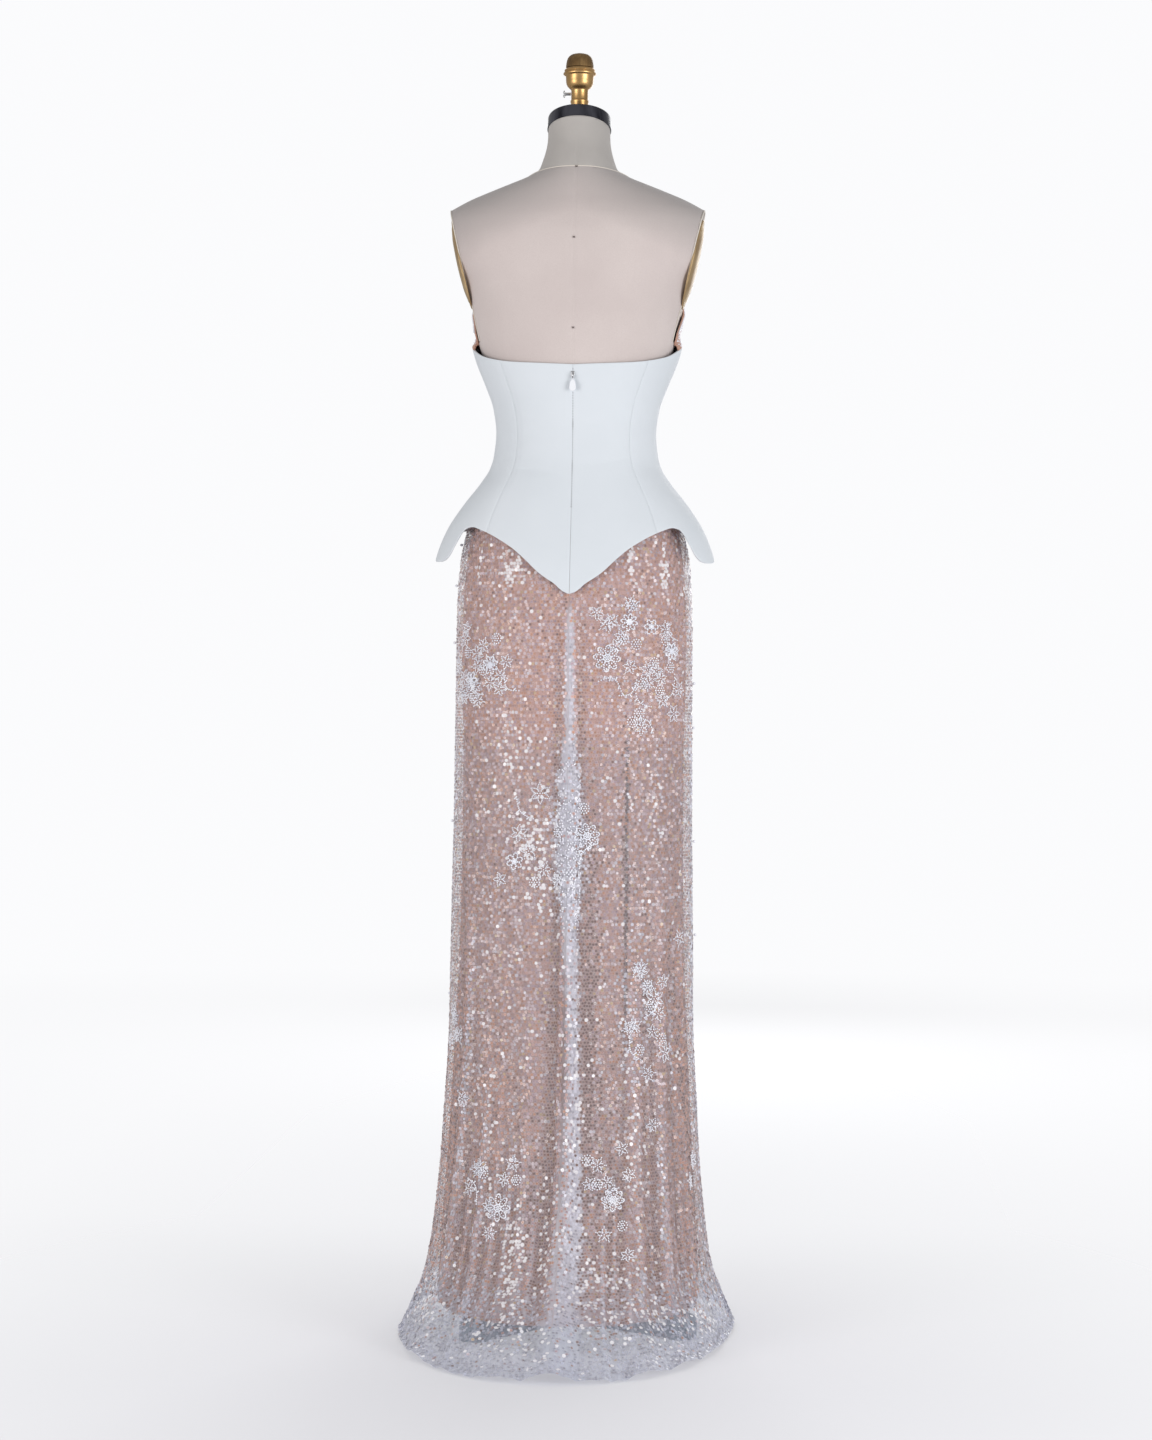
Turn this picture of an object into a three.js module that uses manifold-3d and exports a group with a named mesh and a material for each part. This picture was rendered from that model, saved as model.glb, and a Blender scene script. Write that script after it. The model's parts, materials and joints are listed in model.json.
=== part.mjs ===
// A strapless evening gown on a dress form: stiff white corset with a winged peplum, nude bust cups,
// beaded net skirt with a short train over a nude lining.
// Millimetres, +Z up. The pole of the dress form is the Z axis and the floor is z = 0.
// The wearer's back faces -Y and the wearer's right side is +X.
// An angle round the body is in degrees: 0 is the centre back, 90 the wearer's right, 180 the centre front.
import * as THREE from "three";
import { mergeVertices } from "three/addons/utils/BufferGeometryUtils.js";
import Module from "manifold-3d";

const wasm = await Module();
wasm.setup();

// Driving dimensions
const SEAM_GAP = 0.3;
const SEAM = 0.09;
const CENTRE_SEAM = 0.025;
const CORSET_WALL = 3;
const CUP_WALL = 2.5;
const NET_WALL = 1;
const LINING_WALL = 1;
const SKIRT_TOP = 1224;
const TORSO_BOTTOM = 842;
const SIDE_SEAM = 93;
const FRONT_PRINCESS = 137;
const ROUND_BODY = 2.25;

// The outside of the corset and cups: half sizes of the horizontal section at each height.
const BODICE = [
  { z: 1040, side: 208, back: 132, front: 126 },
  { z: 1093, side: 204, back: 123, front: 124 },
  { z: 1110, side: 200, back: 119, front: 122 },
  { z: 1145, side: 186, back: 110, front: 117 },
  { z: 1180, side: 164, back: 101, front: 108 },
  { z: 1215, side: 136.5, back: 92.5, front: 99 },
  { z: 1232, side: 125.5, back: 89, front: 95 },
  { z: 1250, side: 119.5, back: 86.5, front: 92 },
  { z: 1285, side: 116, back: 85, front: 90 },
  { z: 1320, side: 120.5, back: 87, front: 94 },
  { z: 1354, side: 132.5, back: 91.5, front: 102 },
  { z: 1389, side: 146.5, back: 97, front: 112 },
  { z: 1412, side: 152.5, back: 99.5, front: 120 },
  { z: 1440, side: 154.5, back: 101, front: 121.5 },
  { z: 1466, side: 158.5, back: 102, front: 118 },
  { z: 1500, side: 171, back: 103, front: 108.5 },
  { z: 1540, side: 184, back: 104, front: 97 },
];

// The dress form, from its lower edge to the top of its neck.
const FORM = [
  { z: 842, side: 156, back: 117.4, front: 107.4 },
  { z: 900, side: 158.5, back: 121.8, front: 108.8 },
  { z: 986, side: 159, back: 123.2, front: 108.8 },
  { z: 1044, side: 157.5, back: 117.5, front: 108 },
  { z: 1093, side: 154, back: 108.5, front: 106 },
  { z: 1145, side: 146, back: 97, front: 101 },
  { z: 1180, side: 137, back: 90, front: 96 },
  { z: 1215, side: 123.5, back: 83.5, front: 90 },
  { z: 1232, side: 117, back: 81, front: 87.5 },
  { z: 1250, side: 113.7, back: 80, front: 86 },
  { z: 1285, side: 111.2, back: 80.2, front: 85.2 },
  { z: 1320, side: 115, back: 82, front: 89 },
  { z: 1354, side: 125.5, back: 86.5, front: 97 },
  { z: 1389, side: 134.5, back: 92, front: 106 },
  { z: 1417, side: 143.5, back: 95, front: 112.5 },
  { z: 1446, side: 149.5, back: 96.5, front: 113 },
  { z: 1470, side: 153, back: 97.5, front: 109 },
  { z: 1500, side: 164, back: 98, front: 102 },
  { z: 1535, side: 186, back: 97, front: 88 },
  { z: 1566, side: 194, back: 93, front: 72 },
  { z: 1590, side: 195, back: 85, front: 56 },
  { z: 1604, side: 188, back: 78, front: 44 },
  { z: 1613, side: 174, back: 73, front: 38 },
  { z: 1622, side: 157, back: 68, front: 35 },
  { z: 1633, side: 131, back: 63, front: 34 },
  { z: 1645, side: 101, back: 58, front: 36 },
  { z: 1656, side: 74, back: 54, front: 40 },
  { z: 1667, side: 57, back: 50, front: 45 },
  { z: 1680, side: 52.5, back: 46, front: 49 },
  { z: 1702, side: 49.3, back: 42, front: 52 },
  { z: 1730, side: 46.5, back: 38.5, front: 54.5 },
  { z: 1760, side: 46, back: 37, front: 56 },
];

// The bust of the form and of the bodice, a round mound on each side of the front.
const BUST = { angle: 151, spread: 24, z: 1436, tall: 44, out: 30 };

// Each armhole of the form is cut flat by a leaning plane, and a domed plate covers it.
const ARM_PLANE = { side: 150, z: 1464, leanPerMm: 0.234 };
const ARM_PLATE = { halfHeight: 66, halfDepth: 45, rim: 2.5, dome: 6, y: -6, z: 1530 };

// The edge of the corset's top and of the peplum's hem, and the top edge of the cups, round one half of the body.
const CORSET_TOP = [
  { angle: 0, z: 1376 },
  { angle: 35, z: 1381 },
  { angle: 62, z: 1391 },
  { angle: 82, z: 1405 },
  { angle: 95, z: 1413 },
  { angle: 115, z: 1408 },
  { angle: 140, z: 1392 },
  { angle: 160, z: 1388 },
  { angle: 180, z: 1398 },
];
const PEPLUM_HEM = [
  { angle: 0, z: 1048 },
  { angle: 2, z: 1052 },
  { angle: 4.5, z: 1062 },
  { angle: 7.5, z: 1070 },
  { angle: 10.7, z: 1079 },
  { angle: 16, z: 1097 },
  { angle: 22, z: 1113 },
  { angle: 28, z: 1124 },
  { angle: 33.5, z: 1132 },
  { angle: 41, z: 1140 },
  { angle: 49, z: 1145 },
  { angle: 53, z: 1143 },
  { angle: 55.5, z: 1134 },
  { angle: 57.4, z: 1118 },
  { angle: 60, z: 1105 },
  { angle: 64, z: 1098 },
  { angle: 70, z: 1096 },
  { angle: 78, z: 1097 },
  { angle: 85, z: 1100 },
  { angle: 91, z: 1105 },
  { angle: 96, z: 1113 },
  { angle: 101, z: 1126 },
  { angle: 106, z: 1138 },
  { angle: 112, z: 1145 },
  { angle: 122, z: 1147 },
  { angle: 132, z: 1145 },
  { angle: 142, z: 1136 },
  { angle: 152, z: 1117 },
  { angle: 161, z: 1092 },
  { angle: 170, z: 1067 },
  { angle: 180, z: 1051 },
];
const CUP_TOP = [
  { angle: 80, z: 1430 },
  { angle: 92, z: 1446 },
  { angle: 106, z: 1472 },
  { angle: 125, z: 1500 },
  { angle: 148, z: 1521 },
  { angle: 166, z: 1506 },
  { angle: 180, z: 1482 },
];
const CUP_BACK_END = 80;
const CUP_SEAT = 0.5;

// The princess seams of the back, which come in at the waist.
const PRINCESS_SEAM = [
  { z: 1090, angle: 37 },
  { z: 1145, angle: 37.5 },
  { z: 1180, angle: 38.5 },
  { z: 1215, angle: 40 },
  { z: 1285, angle: 41.8 },
  { z: 1354, angle: 44.5 },
  { z: 1400, angle: 46 },
];

// The net skirt's inside, from its top to the hem that lies on the floor. Down counts its rows.
const NET = [
  { down: 0, z: 1224, side: 124.5, back: 86, front: 92.2 },
  { down: 1, z: 1180, side: 143, back: 94.6, front: 100.6 },
  { down: 2, z: 1145, side: 154.2, back: 101.8, front: 105.8 },
  { down: 3, z: 1093, side: 164.4, back: 113.2, front: 110.8 },
  { down: 4, z: 1044, side: 167.6, back: 122.2, front: 112.8 },
  { down: 5, z: 986, side: 168.8, back: 127.6, front: 113.2 },
  { down: 6, z: 900, side: 169.2, back: 126.2, front: 113.2 },
  { down: 7, z: 842, side: 169.8, back: 123, front: 112.8 },
  { down: 8, z: 740, side: 170.4, back: 122.5, front: 113 },
  { down: 9, z: 638, side: 172, back: 125, front: 116 },
  { down: 10, z: 551, side: 173.3, back: 130, front: 121 },
  { down: 11, z: 435, side: 174.6, back: 141, front: 131 },
  { down: 12, z: 319, side: 179.5, back: 162, front: 144 },
  { down: 13, z: 230, side: 184, back: 190, front: 156 },
  { down: 14, z: 160, side: 190, back: 228, front: 169 },
  { down: 15, z: 110, side: 196, back: 268, front: 182 },
  { down: 16, z: 72, side: 204, back: 313, front: 197 },
  { down: 17, z: 42, side: 216, back: 362, front: 214 },
  { down: 18, z: 20, side: 225, back: 406, front: 228 },
  { down: 19, z: 6, side: 231, back: 443, front: 239 },
  { down: 20, z: 0.4, side: 236, back: 470, front: 246 },
];

// The lining's outside. It follows the form to its lower edge, then falls free and ends above the floor.
const LINING = [
  { z: 38, side: 188, back: 262, front: 160 },
  { z: 70, side: 187, back: 240, front: 153 },
  { z: 116, side: 185, back: 213, front: 146 },
  { z: 203, side: 179.5, back: 176, front: 136 },
  { z: 319, side: 173, back: 147, front: 127 },
  { z: 435, side: 167, back: 131, front: 120 },
  { z: 551, side: 162.5, back: 123.5, front: 114 },
  { z: 638, side: 160.5, back: 120.5, front: 111.5 },
  { z: 740, side: 159.5, back: 119.5, front: 110.2 },
  { z: 842, side: 159.5, back: 120.4, front: 110.4 },
  { z: 900, side: 161.5, back: 124.8, front: 111.8 },
  { z: 986, side: 162, back: 126.2, front: 111.8 },
  { z: 1044, side: 160.5, back: 120.8, front: 111.3 },
  { z: 1093, side: 157, back: 111.8, front: 109.3 },
  { z: 1145, side: 149, back: 100.4, front: 104.4 },
  { z: 1180, side: 140, back: 93.2, front: 99.2 },
  { z: 1224, side: 123.5, back: 85, front: 91.2 },
];

// The long folds of the net. Each stands out of the skirt at its angle, from a height down to the hem, and
// spreads by its share over the last stretch above the floor.
const FOLD_SPREAD = { below: 260 };
const NET_FOLDS = [
  { angle: 0.5, halfWidth: 4.5, out: 15, from: 1035, spread: 0.9 },
  { angle: -13, halfWidth: 7, out: 7, from: 480, spread: 0.3 },
  { angle: -51, halfWidth: 7, out: 9, from: 640, spread: 0.3 },
  { angle: -72, halfWidth: 8, out: 5, from: 420, spread: 0.3 },
  { angle: 11, halfWidth: 6, out: 5, from: 330, spread: 0.3 },
  { angle: 31, halfWidth: 7, out: 9, from: 560, spread: 0.3 },
  { angle: 46, halfWidth: 7, out: 9, from: 640, spread: 0.3 },
  { angle: 63, halfWidth: 8, out: 7, from: 560, spread: 0.3 },
  { angle: 84, halfWidth: 9, out: 5, from: 420, spread: 0.3 },
  { angle: 112, halfWidth: 12, out: 9, from: 520, spread: 0.3 },
  { angle: 142, halfWidth: 12, out: 10, from: 460, spread: 0.3 },
  { angle: 174, halfWidth: 13, out: 8, from: 540, spread: 0.3 },
  { angle: -148, halfWidth: 12, out: 10, from: 480, spread: 0.3 },
  { angle: -116, halfWidth: 12, out: 9, from: 560, spread: 0.3 },
];

// The largest beaded flowers: where each lies on the net, its radius and its petals.
const FLOWERS = [
  { angle: 16, z: 958, radius: 19, petals: 8 },
  { angle: 27, z: 1009, radius: 12, petals: 8 },
  { angle: 40, z: 1003, radius: 11, petals: 6 },
  { angle: 55, z: 969, radius: 12, petals: 8 },
  { angle: -39, z: 947, radius: 13, petals: 8 },
  { angle: -54, z: 926, radius: 12, petals: 6 },
  { angle: 7.5, z: 706, radius: 18, petals: 8 },
  { angle: -23, z: 669, radius: 12, petals: 6 },
  { angle: -25, z: 188, radius: 20, petals: 8 },
  { angle: 20, z: 202, radius: 17, petals: 8 },
  { angle: -160, z: 980, radius: 19, petals: 8 },
  { angle: 150, z: 900, radius: 14, petals: 8 },
  { angle: -172, z: 640, radius: 18, petals: 8 },
  { angle: 128, z: 690, radius: 13, petals: 6 },
];

// Small hard pieces
const ZIP = { z: 1361, width: 5, height: 11, depth: 2.2, bailReach: 4, bailOut: 3, bailWide: 1.6, bailThick: 0.9 };
const PULL = { length: 23, width: 9.5, thick: 1.1, holeWide: 2.8, holeTall: 4.6, bar: 0.5, out: 1.25 };
const NECK = { seamBackZ: 1666, seamLean: 12, capZ: 1726.5, capLean: 18, capY: 9, capRadius: 46.5, capHeight: 20.5 };
const FINIAL = { y: 9, brassBottom: 1730, capBottom: 1817 };
const SCREW = { z: 1780, shank: 2.2, gap: 0.3, reach: 9, wingHigh: 5.2, wingThick: 3 };
const POLE = { radius: 15, bottom: 10.3 };
const BASE = { hubRadius: 58, hubHeight: 16, collarRadius: 25, collarHeight: 62, reach: 206, turn: 9, armWide: 34, armHigh: 12 };
const FOOT = { radius: 22, height: 33 };

const COLOURS = {
  corset: 0xf3f6f7,
  nude: 0xc79a86,
  net: 0xd9cdd2,
  beads: 0xeef0f6,
  linen: 0xcabfb9,
  armPlate: 0xb9975a,
  brass: 0xb98a3e,
  bronze: 0x6e5430,
  steel: 0x5f636b,
  silver: 0xaeb3b8,
  iron: 0x24302f,
};

const degrees = THREE.MathUtils.degToRad;
const lerp = THREE.MathUtils.lerp;

// One column of a table at any key, through a cubic that never overshoots its rows.
function read(table, key, column, at) {
  const last = table.length - 1;
  if (at <= table[0][key]) return table[0][column];
  if (at >= table[last][key]) return table[last][column];
  let i = 0;
  while (table[i + 1][key] < at) i++;
  const slope = (k) => (table[k + 1][column] - table[k][column]) / (table[k + 1][key] - table[k][key]);
  const tangent = (k) => {
    if (k === 0) return slope(0);
    if (k === last) return slope(last - 1);
    const before = slope(k - 1);
    const after = slope(k);
    return before * after <= 0 ? 0 : (2 * before * after) / (before + after);
  };
  const span = table[i + 1][key] - table[i][key];
  const t = (at - table[i][key]) / span;
  const t2 = t * t;
  const t3 = t2 * t;
  return (
    (2 * t3 - 3 * t2 + 1) * table[i][column] +
    (t3 - 2 * t2 + t) * span * tangent(i) +
    (3 * t2 - 2 * t3) * table[i + 1][column] +
    (t3 - t2) * span * tangent(i + 1)
  );
}

// A point of the section with these half sizes, at an angle round the body.
function ringPoint(side, back, front, angle, z) {
  const s = Math.sin(degrees(angle));
  const c = Math.cos(degrees(angle));
  const power = 2 / ROUND_BODY;
  const depth = c > 0 ? back : front;
  const x = side * Math.sign(s) * Math.abs(s) ** power;
  const y = -depth * Math.sign(c) * Math.abs(c) ** power;
  return new THREE.Vector3(x, y, z);
}

function sectionPoint(table, angle, z) {
  return ringPoint(
    read(table, "z", "side", z),
    read(table, "z", "back", z),
    read(table, "z", "front", z),
    angle,
    z,
  );
}

// How far the bust stands out at a place, the same on both sides.
function bustOut(angle, z) {
  const across = (Math.abs(angle) - BUST.angle) / BUST.spread;
  const mirrored = (360 - Math.abs(angle) - BUST.angle) / BUST.spread;
  const up = (z - BUST.z) / BUST.tall;
  return BUST.out * (Math.exp(-across * across) + Math.exp(-mirrored * mirrored)) * Math.exp(-up * up);
}

function withBust(point, angle) {
  const out = bustOut(angle, point.z);
  point.x += out * Math.sin(degrees(angle)) * 0.5;
  point.y -= out * Math.cos(degrees(angle));
  return point;
}

const bodicePoint = (angle, z) => withBust(sectionPoint(BODICE, angle, z), angle);

// A closed skin over a grid of points, columns[i][j]: an inner and an outer sheet joined round their edges,
// or round their two ends only when the grid goes all the way round.
function wallGeometry(outer, inner) {
  const across = outer.length;
  const down = outer[0].length;
  const positions = [];
  for (const sheet of [outer, inner]) {
    for (const column of sheet) {
      for (const p of column) positions.push(p.x, p.y, p.z);
    }
  }
  const at = (sheet, i, j) => (sheet * across + i) * down + j;
  const index = [];
  const quad = (a, b, c, d) => index.push(a, b, c, a, c, d);
  for (let i = 0; i < across - 1; i++) {
    for (let j = 0; j < down - 1; j++) {
      quad(at(0, i, j), at(0, i, j + 1), at(0, i + 1, j + 1), at(0, i + 1, j));
      quad(at(1, i, j), at(1, i + 1, j), at(1, i + 1, j + 1), at(1, i, j + 1));
    }
    const end = down - 1;
    quad(at(0, i, 0), at(0, i + 1, 0), at(1, i + 1, 0), at(1, i, 0));
    quad(at(0, i + 1, end), at(0, i, end), at(1, i, end), at(1, i + 1, end));
  }
  for (let j = 0; j < down - 1; j++) {
    const end = across - 1;
    quad(at(0, 0, j + 1), at(0, 0, j), at(1, 0, j), at(1, 0, j + 1));
    quad(at(0, end, j), at(0, end, j + 1), at(1, end, j + 1), at(1, end, j));
  }
  const geometry = new THREE.BufferGeometry();
  geometry.setAttribute("position", new THREE.Float32BufferAttribute(positions, 3));
  geometry.setIndex(index);
  return geometry;
}

// The outward normal of a surface at (u, v), where u goes round the body and v goes down.
function normalAt(surface, u, v) {
  const step = 1e-3;
  const alongU = surface(u + step, v).sub(surface(u - step, v));
  const alongV = surface(u, v + step).sub(surface(u, v - step));
  return alongV.cross(alongU).normalize();
}

// A cloth panel on a surface: its outer sheet stands out by outside, and its inner one lies the wall behind that.
function clothPanel(surface, us, vs, wall, outside) {
  const sheet = (offset) =>
    us.map((u) => vs.map((v) => surface(u, v).addScaledVector(normalAt(surface, u, v), offset)));
  return wallGeometry(sheet(outside), sheet(outside - wall));
}

const evenly = (from, to, count) => Array.from({ length: count + 1 }, (_, i) => lerp(from, to, i / count));

// Each body panel of the corset runs from the top edge to the peplum's hem, between two seams.
const edgeHeight = (table, angle) => read(table, "angle", "z", Math.abs(angle > 180 ? 360 - angle : angle));
const princess = (z) => read(PRINCESS_SEAM, "z", "angle", z);

function corsetSurface(fromSeam, toSeam) {
  return (u, v) => {
    let z = 1250;
    let angle = 0;
    for (let pass = 0; pass < 6; pass++) {
      angle = lerp(fromSeam(z), toSeam(z), u);
      z = lerp(edgeHeight(CORSET_TOP, angle), edgeHeight(PEPLUM_HEM, angle), v);
    }
    return bodicePoint(angle, z);
  };
}

// A seam's angle at each height, held back on one side so that the panels stay apart. The sections turn fastest
// with the angle at the centre back.
const beside = (seam, side) => (z) => seam(z) + side * (seam(z) === 0 ? CENTRE_SEAM : SEAM);

function corsetPanel(fromSeam, toSeam, across) {
  const surface = corsetSurface(beside(fromSeam, 1), beside(toSeam, -1));
  return clothPanel(surface, evenly(0, 1, across), evenly(0, 1, 12), CORSET_WALL, 0);
}

// A cup stands on the corset's top edge, column on column, and follows the bust to its own top edge.
function cupGeometry(side) {
  const surface = (u, v) => {
    const folded = u > 180 ? 360 - u : u;
    const bottom = read(CORSET_TOP, "angle", "z", folded) + CUP_SEAT;
    const top = read(CUP_TOP, "angle", "z", folded);
    return bodicePoint(u, lerp(top, bottom, v));
  };
  const columns = [
    CUP_BACK_END,
    (CUP_BACK_END + SIDE_SEAM) / 2,
    ...evenly(SIDE_SEAM, FRONT_PRINCESS, 5),
    ...evenly(FRONT_PRINCESS, 180 - CENTRE_SEAM, 4).slice(1),
  ];
  const angles = side > 0 ? columns : columns.map((angle) => 360 - angle).reverse();
  return clothPanel(surface, angles, evenly(0, 1, 5), CUP_WALL, 0);
}

// The net stands out in its long folds, all the more towards the hem.
function foldOut(angle, z) {
  let out = 0;
  for (const fold of NET_FOLDS) {
    if (z >= fold.from) continue;
    let away = Math.abs(angle - fold.angle) % 360;
    if (away > 180) away = 360 - away;
    const share = Math.min(1, (fold.from - z) / fold.from);
    const low = Math.max(0, 1 - z / FOLD_SPREAD.below);
    const halfWidth = fold.halfWidth * (1 + fold.spread * low);
    if (away < halfWidth) out += fold.out * Math.sqrt(share) * 0.5 * (1 + Math.cos((Math.PI * away) / halfWidth));
  }
  return out;
}

function netBase(angle, down) {
  const value = (column) => read(NET, "down", column, down);
  return ringPoint(value("side"), value("back"), value("front"), angle, value("z"));
}

function netSurface(angle, down) {
  const point = netBase(angle, down);
  const normal = normalAt(netBase, angle, down);
  return point.addScaledVector(normal, foldOut(angle, point.z));
}

const NET_DOWN = [0.01, 1.5, 3, 4, 5, 6.5, 8, 10, 11, 12, 13, 14, 15, 16, 17, 18, 19, 19.99];

function netAngles(from, to, step) {
  return evenly(from, to, Math.round((to - from) / step));
}

const NET_BACK_RIGHT = [CENTRE_SEAM, 1.8, 3.2, 5, 8, 11, 14, 17.5, 21, 24.5, 27.5, 31, 34.5, 38.5, 42.5, 46, 49.5, 54];
const NET_BACK_REST = [58.5, 63, 67.5, 73, 78.5, 84, 88.5, SIDE_SEAM - SEAM];
const NET_BACK_LEFT = [CENTRE_SEAM, 1.4, 2.8, 5, 8, 10.5, 13, 16.5, 20, 25, 30, 36, 41, 44.5, 48, 51, 54.5, 58, 63];
const NET_LEFT_REST = [67.5, 72, 77, 82, 87.5, SIDE_SEAM - SEAM];
const netPanels = {
  skirt_net_back_right: [...NET_BACK_RIGHT, ...NET_BACK_REST],
  skirt_net_back_left: [...NET_BACK_LEFT, ...NET_LEFT_REST].map((angle) => -angle).reverse(),
  skirt_net_front: netAngles(SIDE_SEAM + SEAM, 360 - SIDE_SEAM - SEAM, 8),
};

const netPanel = (angles) => clothPanel(netSurface, angles, NET_DOWN, NET_WALL, NET_WALL);

// The lining, in two back pieces and a front.
function liningPanel(from, to, across) {
  const heights = [1224, 1162, 1093, 1044, 970, 842, 638, 435, 319, 203, 116, 70, 38.5];
  const last = heights.length - 1;
  const surface = (u, v) => {
    const row = Math.min(last - 1, Math.max(0, Math.floor(v)));
    return sectionPoint(LINING, u, lerp(heights[row], heights[row + 1], v - row));
  };
  const rows = heights.map((_, row) => row);
  return clothPanel(surface, evenly(from, to, across), rows, LINING_WALL, 0);
}

// A petal outline that lies on the net's own facets, moved out.
function netFacetPoint(angle, down, lift) {
  const panel = Object.values(netPanels).find((angles) => {
    const turned = angles[0] > 90 && angle < 0 ? angle + 360 : angle;
    return turned >= angles[0] - 0.2 && turned <= angles[angles.length - 1] + 0.2;
  });
  const turned = panel[0] > 90 && angle < 0 ? angle + 360 : angle;
  let i = 0;
  while (i < panel.length - 2 && panel[i + 1] < turned) i++;
  let j = 0;
  while (j < NET_DOWN.length - 2 && NET_DOWN[j + 1] < down) j++;
  const corner = (a, d) => {
    const normal = normalAt(netSurface, panel[a], NET_DOWN[d]);
    return netSurface(panel[a], NET_DOWN[d]).addScaledVector(normal, NET_WALL);
  };
  const s = (turned - panel[i]) / (panel[i + 1] - panel[i]);
  const t = (down - NET_DOWN[j]) / (NET_DOWN[j + 1] - NET_DOWN[j]);
  const p00 = corner(i, j);
  const p11 = corner(i + 1, j + 1);
  const third = s > t ? corner(i + 1, j) : corner(i, j + 1);
  const low = Math.min(s, t);
  const high = Math.max(s, t);
  const point = p00.clone().multiplyScalar(1 - high);
  point.addScaledVector(p11, low).addScaledVector(third, high - low);
  const first = third.clone().sub(p00);
  const second = p11.clone().sub(p00);
  const normal = s > t ? second.cross(first) : first.cross(second);
  return point.addScaledVector(normal.normalize(), lift);
}

// A beaded flower, as a low star with a raised heart, that follows the net under it.
function flowerGeometry({ angle, z, radius, petals }) {
  const LIFT = 0.9;
  const THICK = 2.2;
  let down = 0;
  while (read(NET, "down", "z", down) > z) down += 0.01;
  const here = netSurface(angle, down);
  const perAngle = netSurface(angle + 1, down).distanceTo(here);
  const perDown = netSurface(angle, down + 0.02).distanceTo(here) / 0.02;
  const place = (distance, turn, lift) => {
    const a = angle + (distance * Math.cos(turn)) / perAngle;
    const d = down + (distance * Math.sin(turn)) / perDown;
    return netFacetPoint(a, d, lift);
  };
  const points = [place(0, 0, LIFT + THICK * 1.5), place(0, 0, LIFT)];
  const around = petals * 2;
  for (let k = 0; k < around; k++) {
    const turn = (k * Math.PI) / petals;
    const reach = k % 2 === 0 ? radius : radius * 0.5;
    points.push(place(radius * 0.26, turn, LIFT + THICK * 1.3));
    points.push(place(reach, turn, LIFT + THICK * 0.75));
    points.push(place(reach, turn, LIFT));
  }
  const index = [];
  const heart = (k) => 2 + 3 * (k % around);
  for (let k = 0; k < around; k++) {
    const [h, t, b] = [heart(k), heart(k) + 1, heart(k) + 2];
    const [h2, t2, b2] = [heart(k + 1), heart(k + 1) + 1, heart(k + 1) + 2];
    index.push(0, h2, h, h, h2, t2, h, t2, t, t, t2, b2, t, b2, b, 1, b, b2);
  }
  const geometry = new THREE.BufferGeometry();
  geometry.setAttribute("position", new THREE.Float32BufferAttribute(points.flatMap((p) => [p.x, p.y, p.z]), 3));
  geometry.setIndex(index);
  return geometry;
}

// Solids and meshes to and fro, for the pieces that are joined or cut.
function toSolid(geometry) {
  const bare = geometry.clone();
  bare.deleteAttribute("normal");
  bare.deleteAttribute("uv");
  const merged = mergeVertices(bare, 1e-4);
  const solid = new wasm.Manifold(
    new wasm.Mesh({
      numProp: 3,
      vertProperties: new Float32Array(merged.attributes.position.array),
      triVerts: new Uint32Array(merged.index.array),
    }),
  );
  return solid;
}

function toGeometry(solid) {
  const mesh = solid.getMesh();
  const geometry = new THREE.BufferGeometry();
  geometry.setAttribute("position", new THREE.BufferAttribute(mesh.vertProperties, 3));
  geometry.setIndex(new THREE.BufferAttribute(mesh.triVerts, 1));
  return geometry;
}

// The torso and neck are one loft, parted at the neck seam and cut level at the neck's leaning top.
function formSolid() {
  const AROUND = 36;
  const heights = [
    842, 986, 1044, 1093, 1145, 1190, 1232, 1285, 1330, 1375, 1412, 1446, 1475, 1505, 1535, 1566, 1590,
    1604, 1617, 1633, 1645, 1656, 1667, 1680, 1705, 1760,
  ];
  const rings = heights.map((z) =>
    evenly(0, 360, AROUND)
      .slice(0, AROUND)
      .map((angle) => {
        const point = withBust(sectionPoint(FORM, angle, z), angle > 180 ? angle - 360 : angle);
        const flat = ARM_PLANE.side + (z - ARM_PLANE.z) * ARM_PLANE.leanPerMm;
        if (z > ARM_PLANE.z - 50) point.x = THREE.MathUtils.clamp(point.x, -flat, flat);
        return point;
      }),
  );
  const positions = rings.flat().flatMap((p) => [p.x, p.y, p.z]);
  const bottom = rings.length * AROUND;
  positions.push(0, 0, heights[0], 0, NECK.capY, heights[heights.length - 1]);
  const index = [];
  for (let i = 0; i < AROUND; i++) {
    const next = (i + 1) % AROUND;
    for (let r = 0; r < rings.length - 1; r++) {
      const [a, b] = [r * AROUND + i, r * AROUND + next];
      const [c, d] = [a + AROUND, b + AROUND];
      index.push(a, b, d, a, d, c);
    }
    index.push(bottom, next, i);
    index.push(bottom + 1, bottom - AROUND + i, bottom - AROUND + next);
  }
  const geometry = new THREE.BufferGeometry();
  geometry.setAttribute("position", new THREE.Float32BufferAttribute(positions, 3));
  geometry.setIndex(index);
  return toSolid(geometry);
}

// A plane that leans forward: its upward normal, and its distance from the origin through a point of the YZ plane.
function leaningPlane(lean, y, z) {
  const normal = [0, Math.sin(degrees(lean)), Math.cos(degrees(lean))];
  return { normal, offset: normal[1] * y + normal[2] * z };
}

const above = (solid, plane, gap) => solid.trimByPlane(plane.normal, plane.offset + gap);
const below = (solid, plane, gap) =>
  solid.trimByPlane(plane.normal.map((n) => -n), -(plane.offset - gap));

const NECK_SEAM = leaningPlane(NECK.seamLean, -FORM.find((row) => row.z === 1667).back, NECK.seamBackZ);
const NECK_TOP = leaningPlane(NECK.capLean, NECK.capY, NECK.capZ);
const CAP_TOP = leaningPlane(NECK.capLean, NECK.capY, NECK.capZ);
CAP_TOP.offset += NECK.capHeight;

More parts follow.
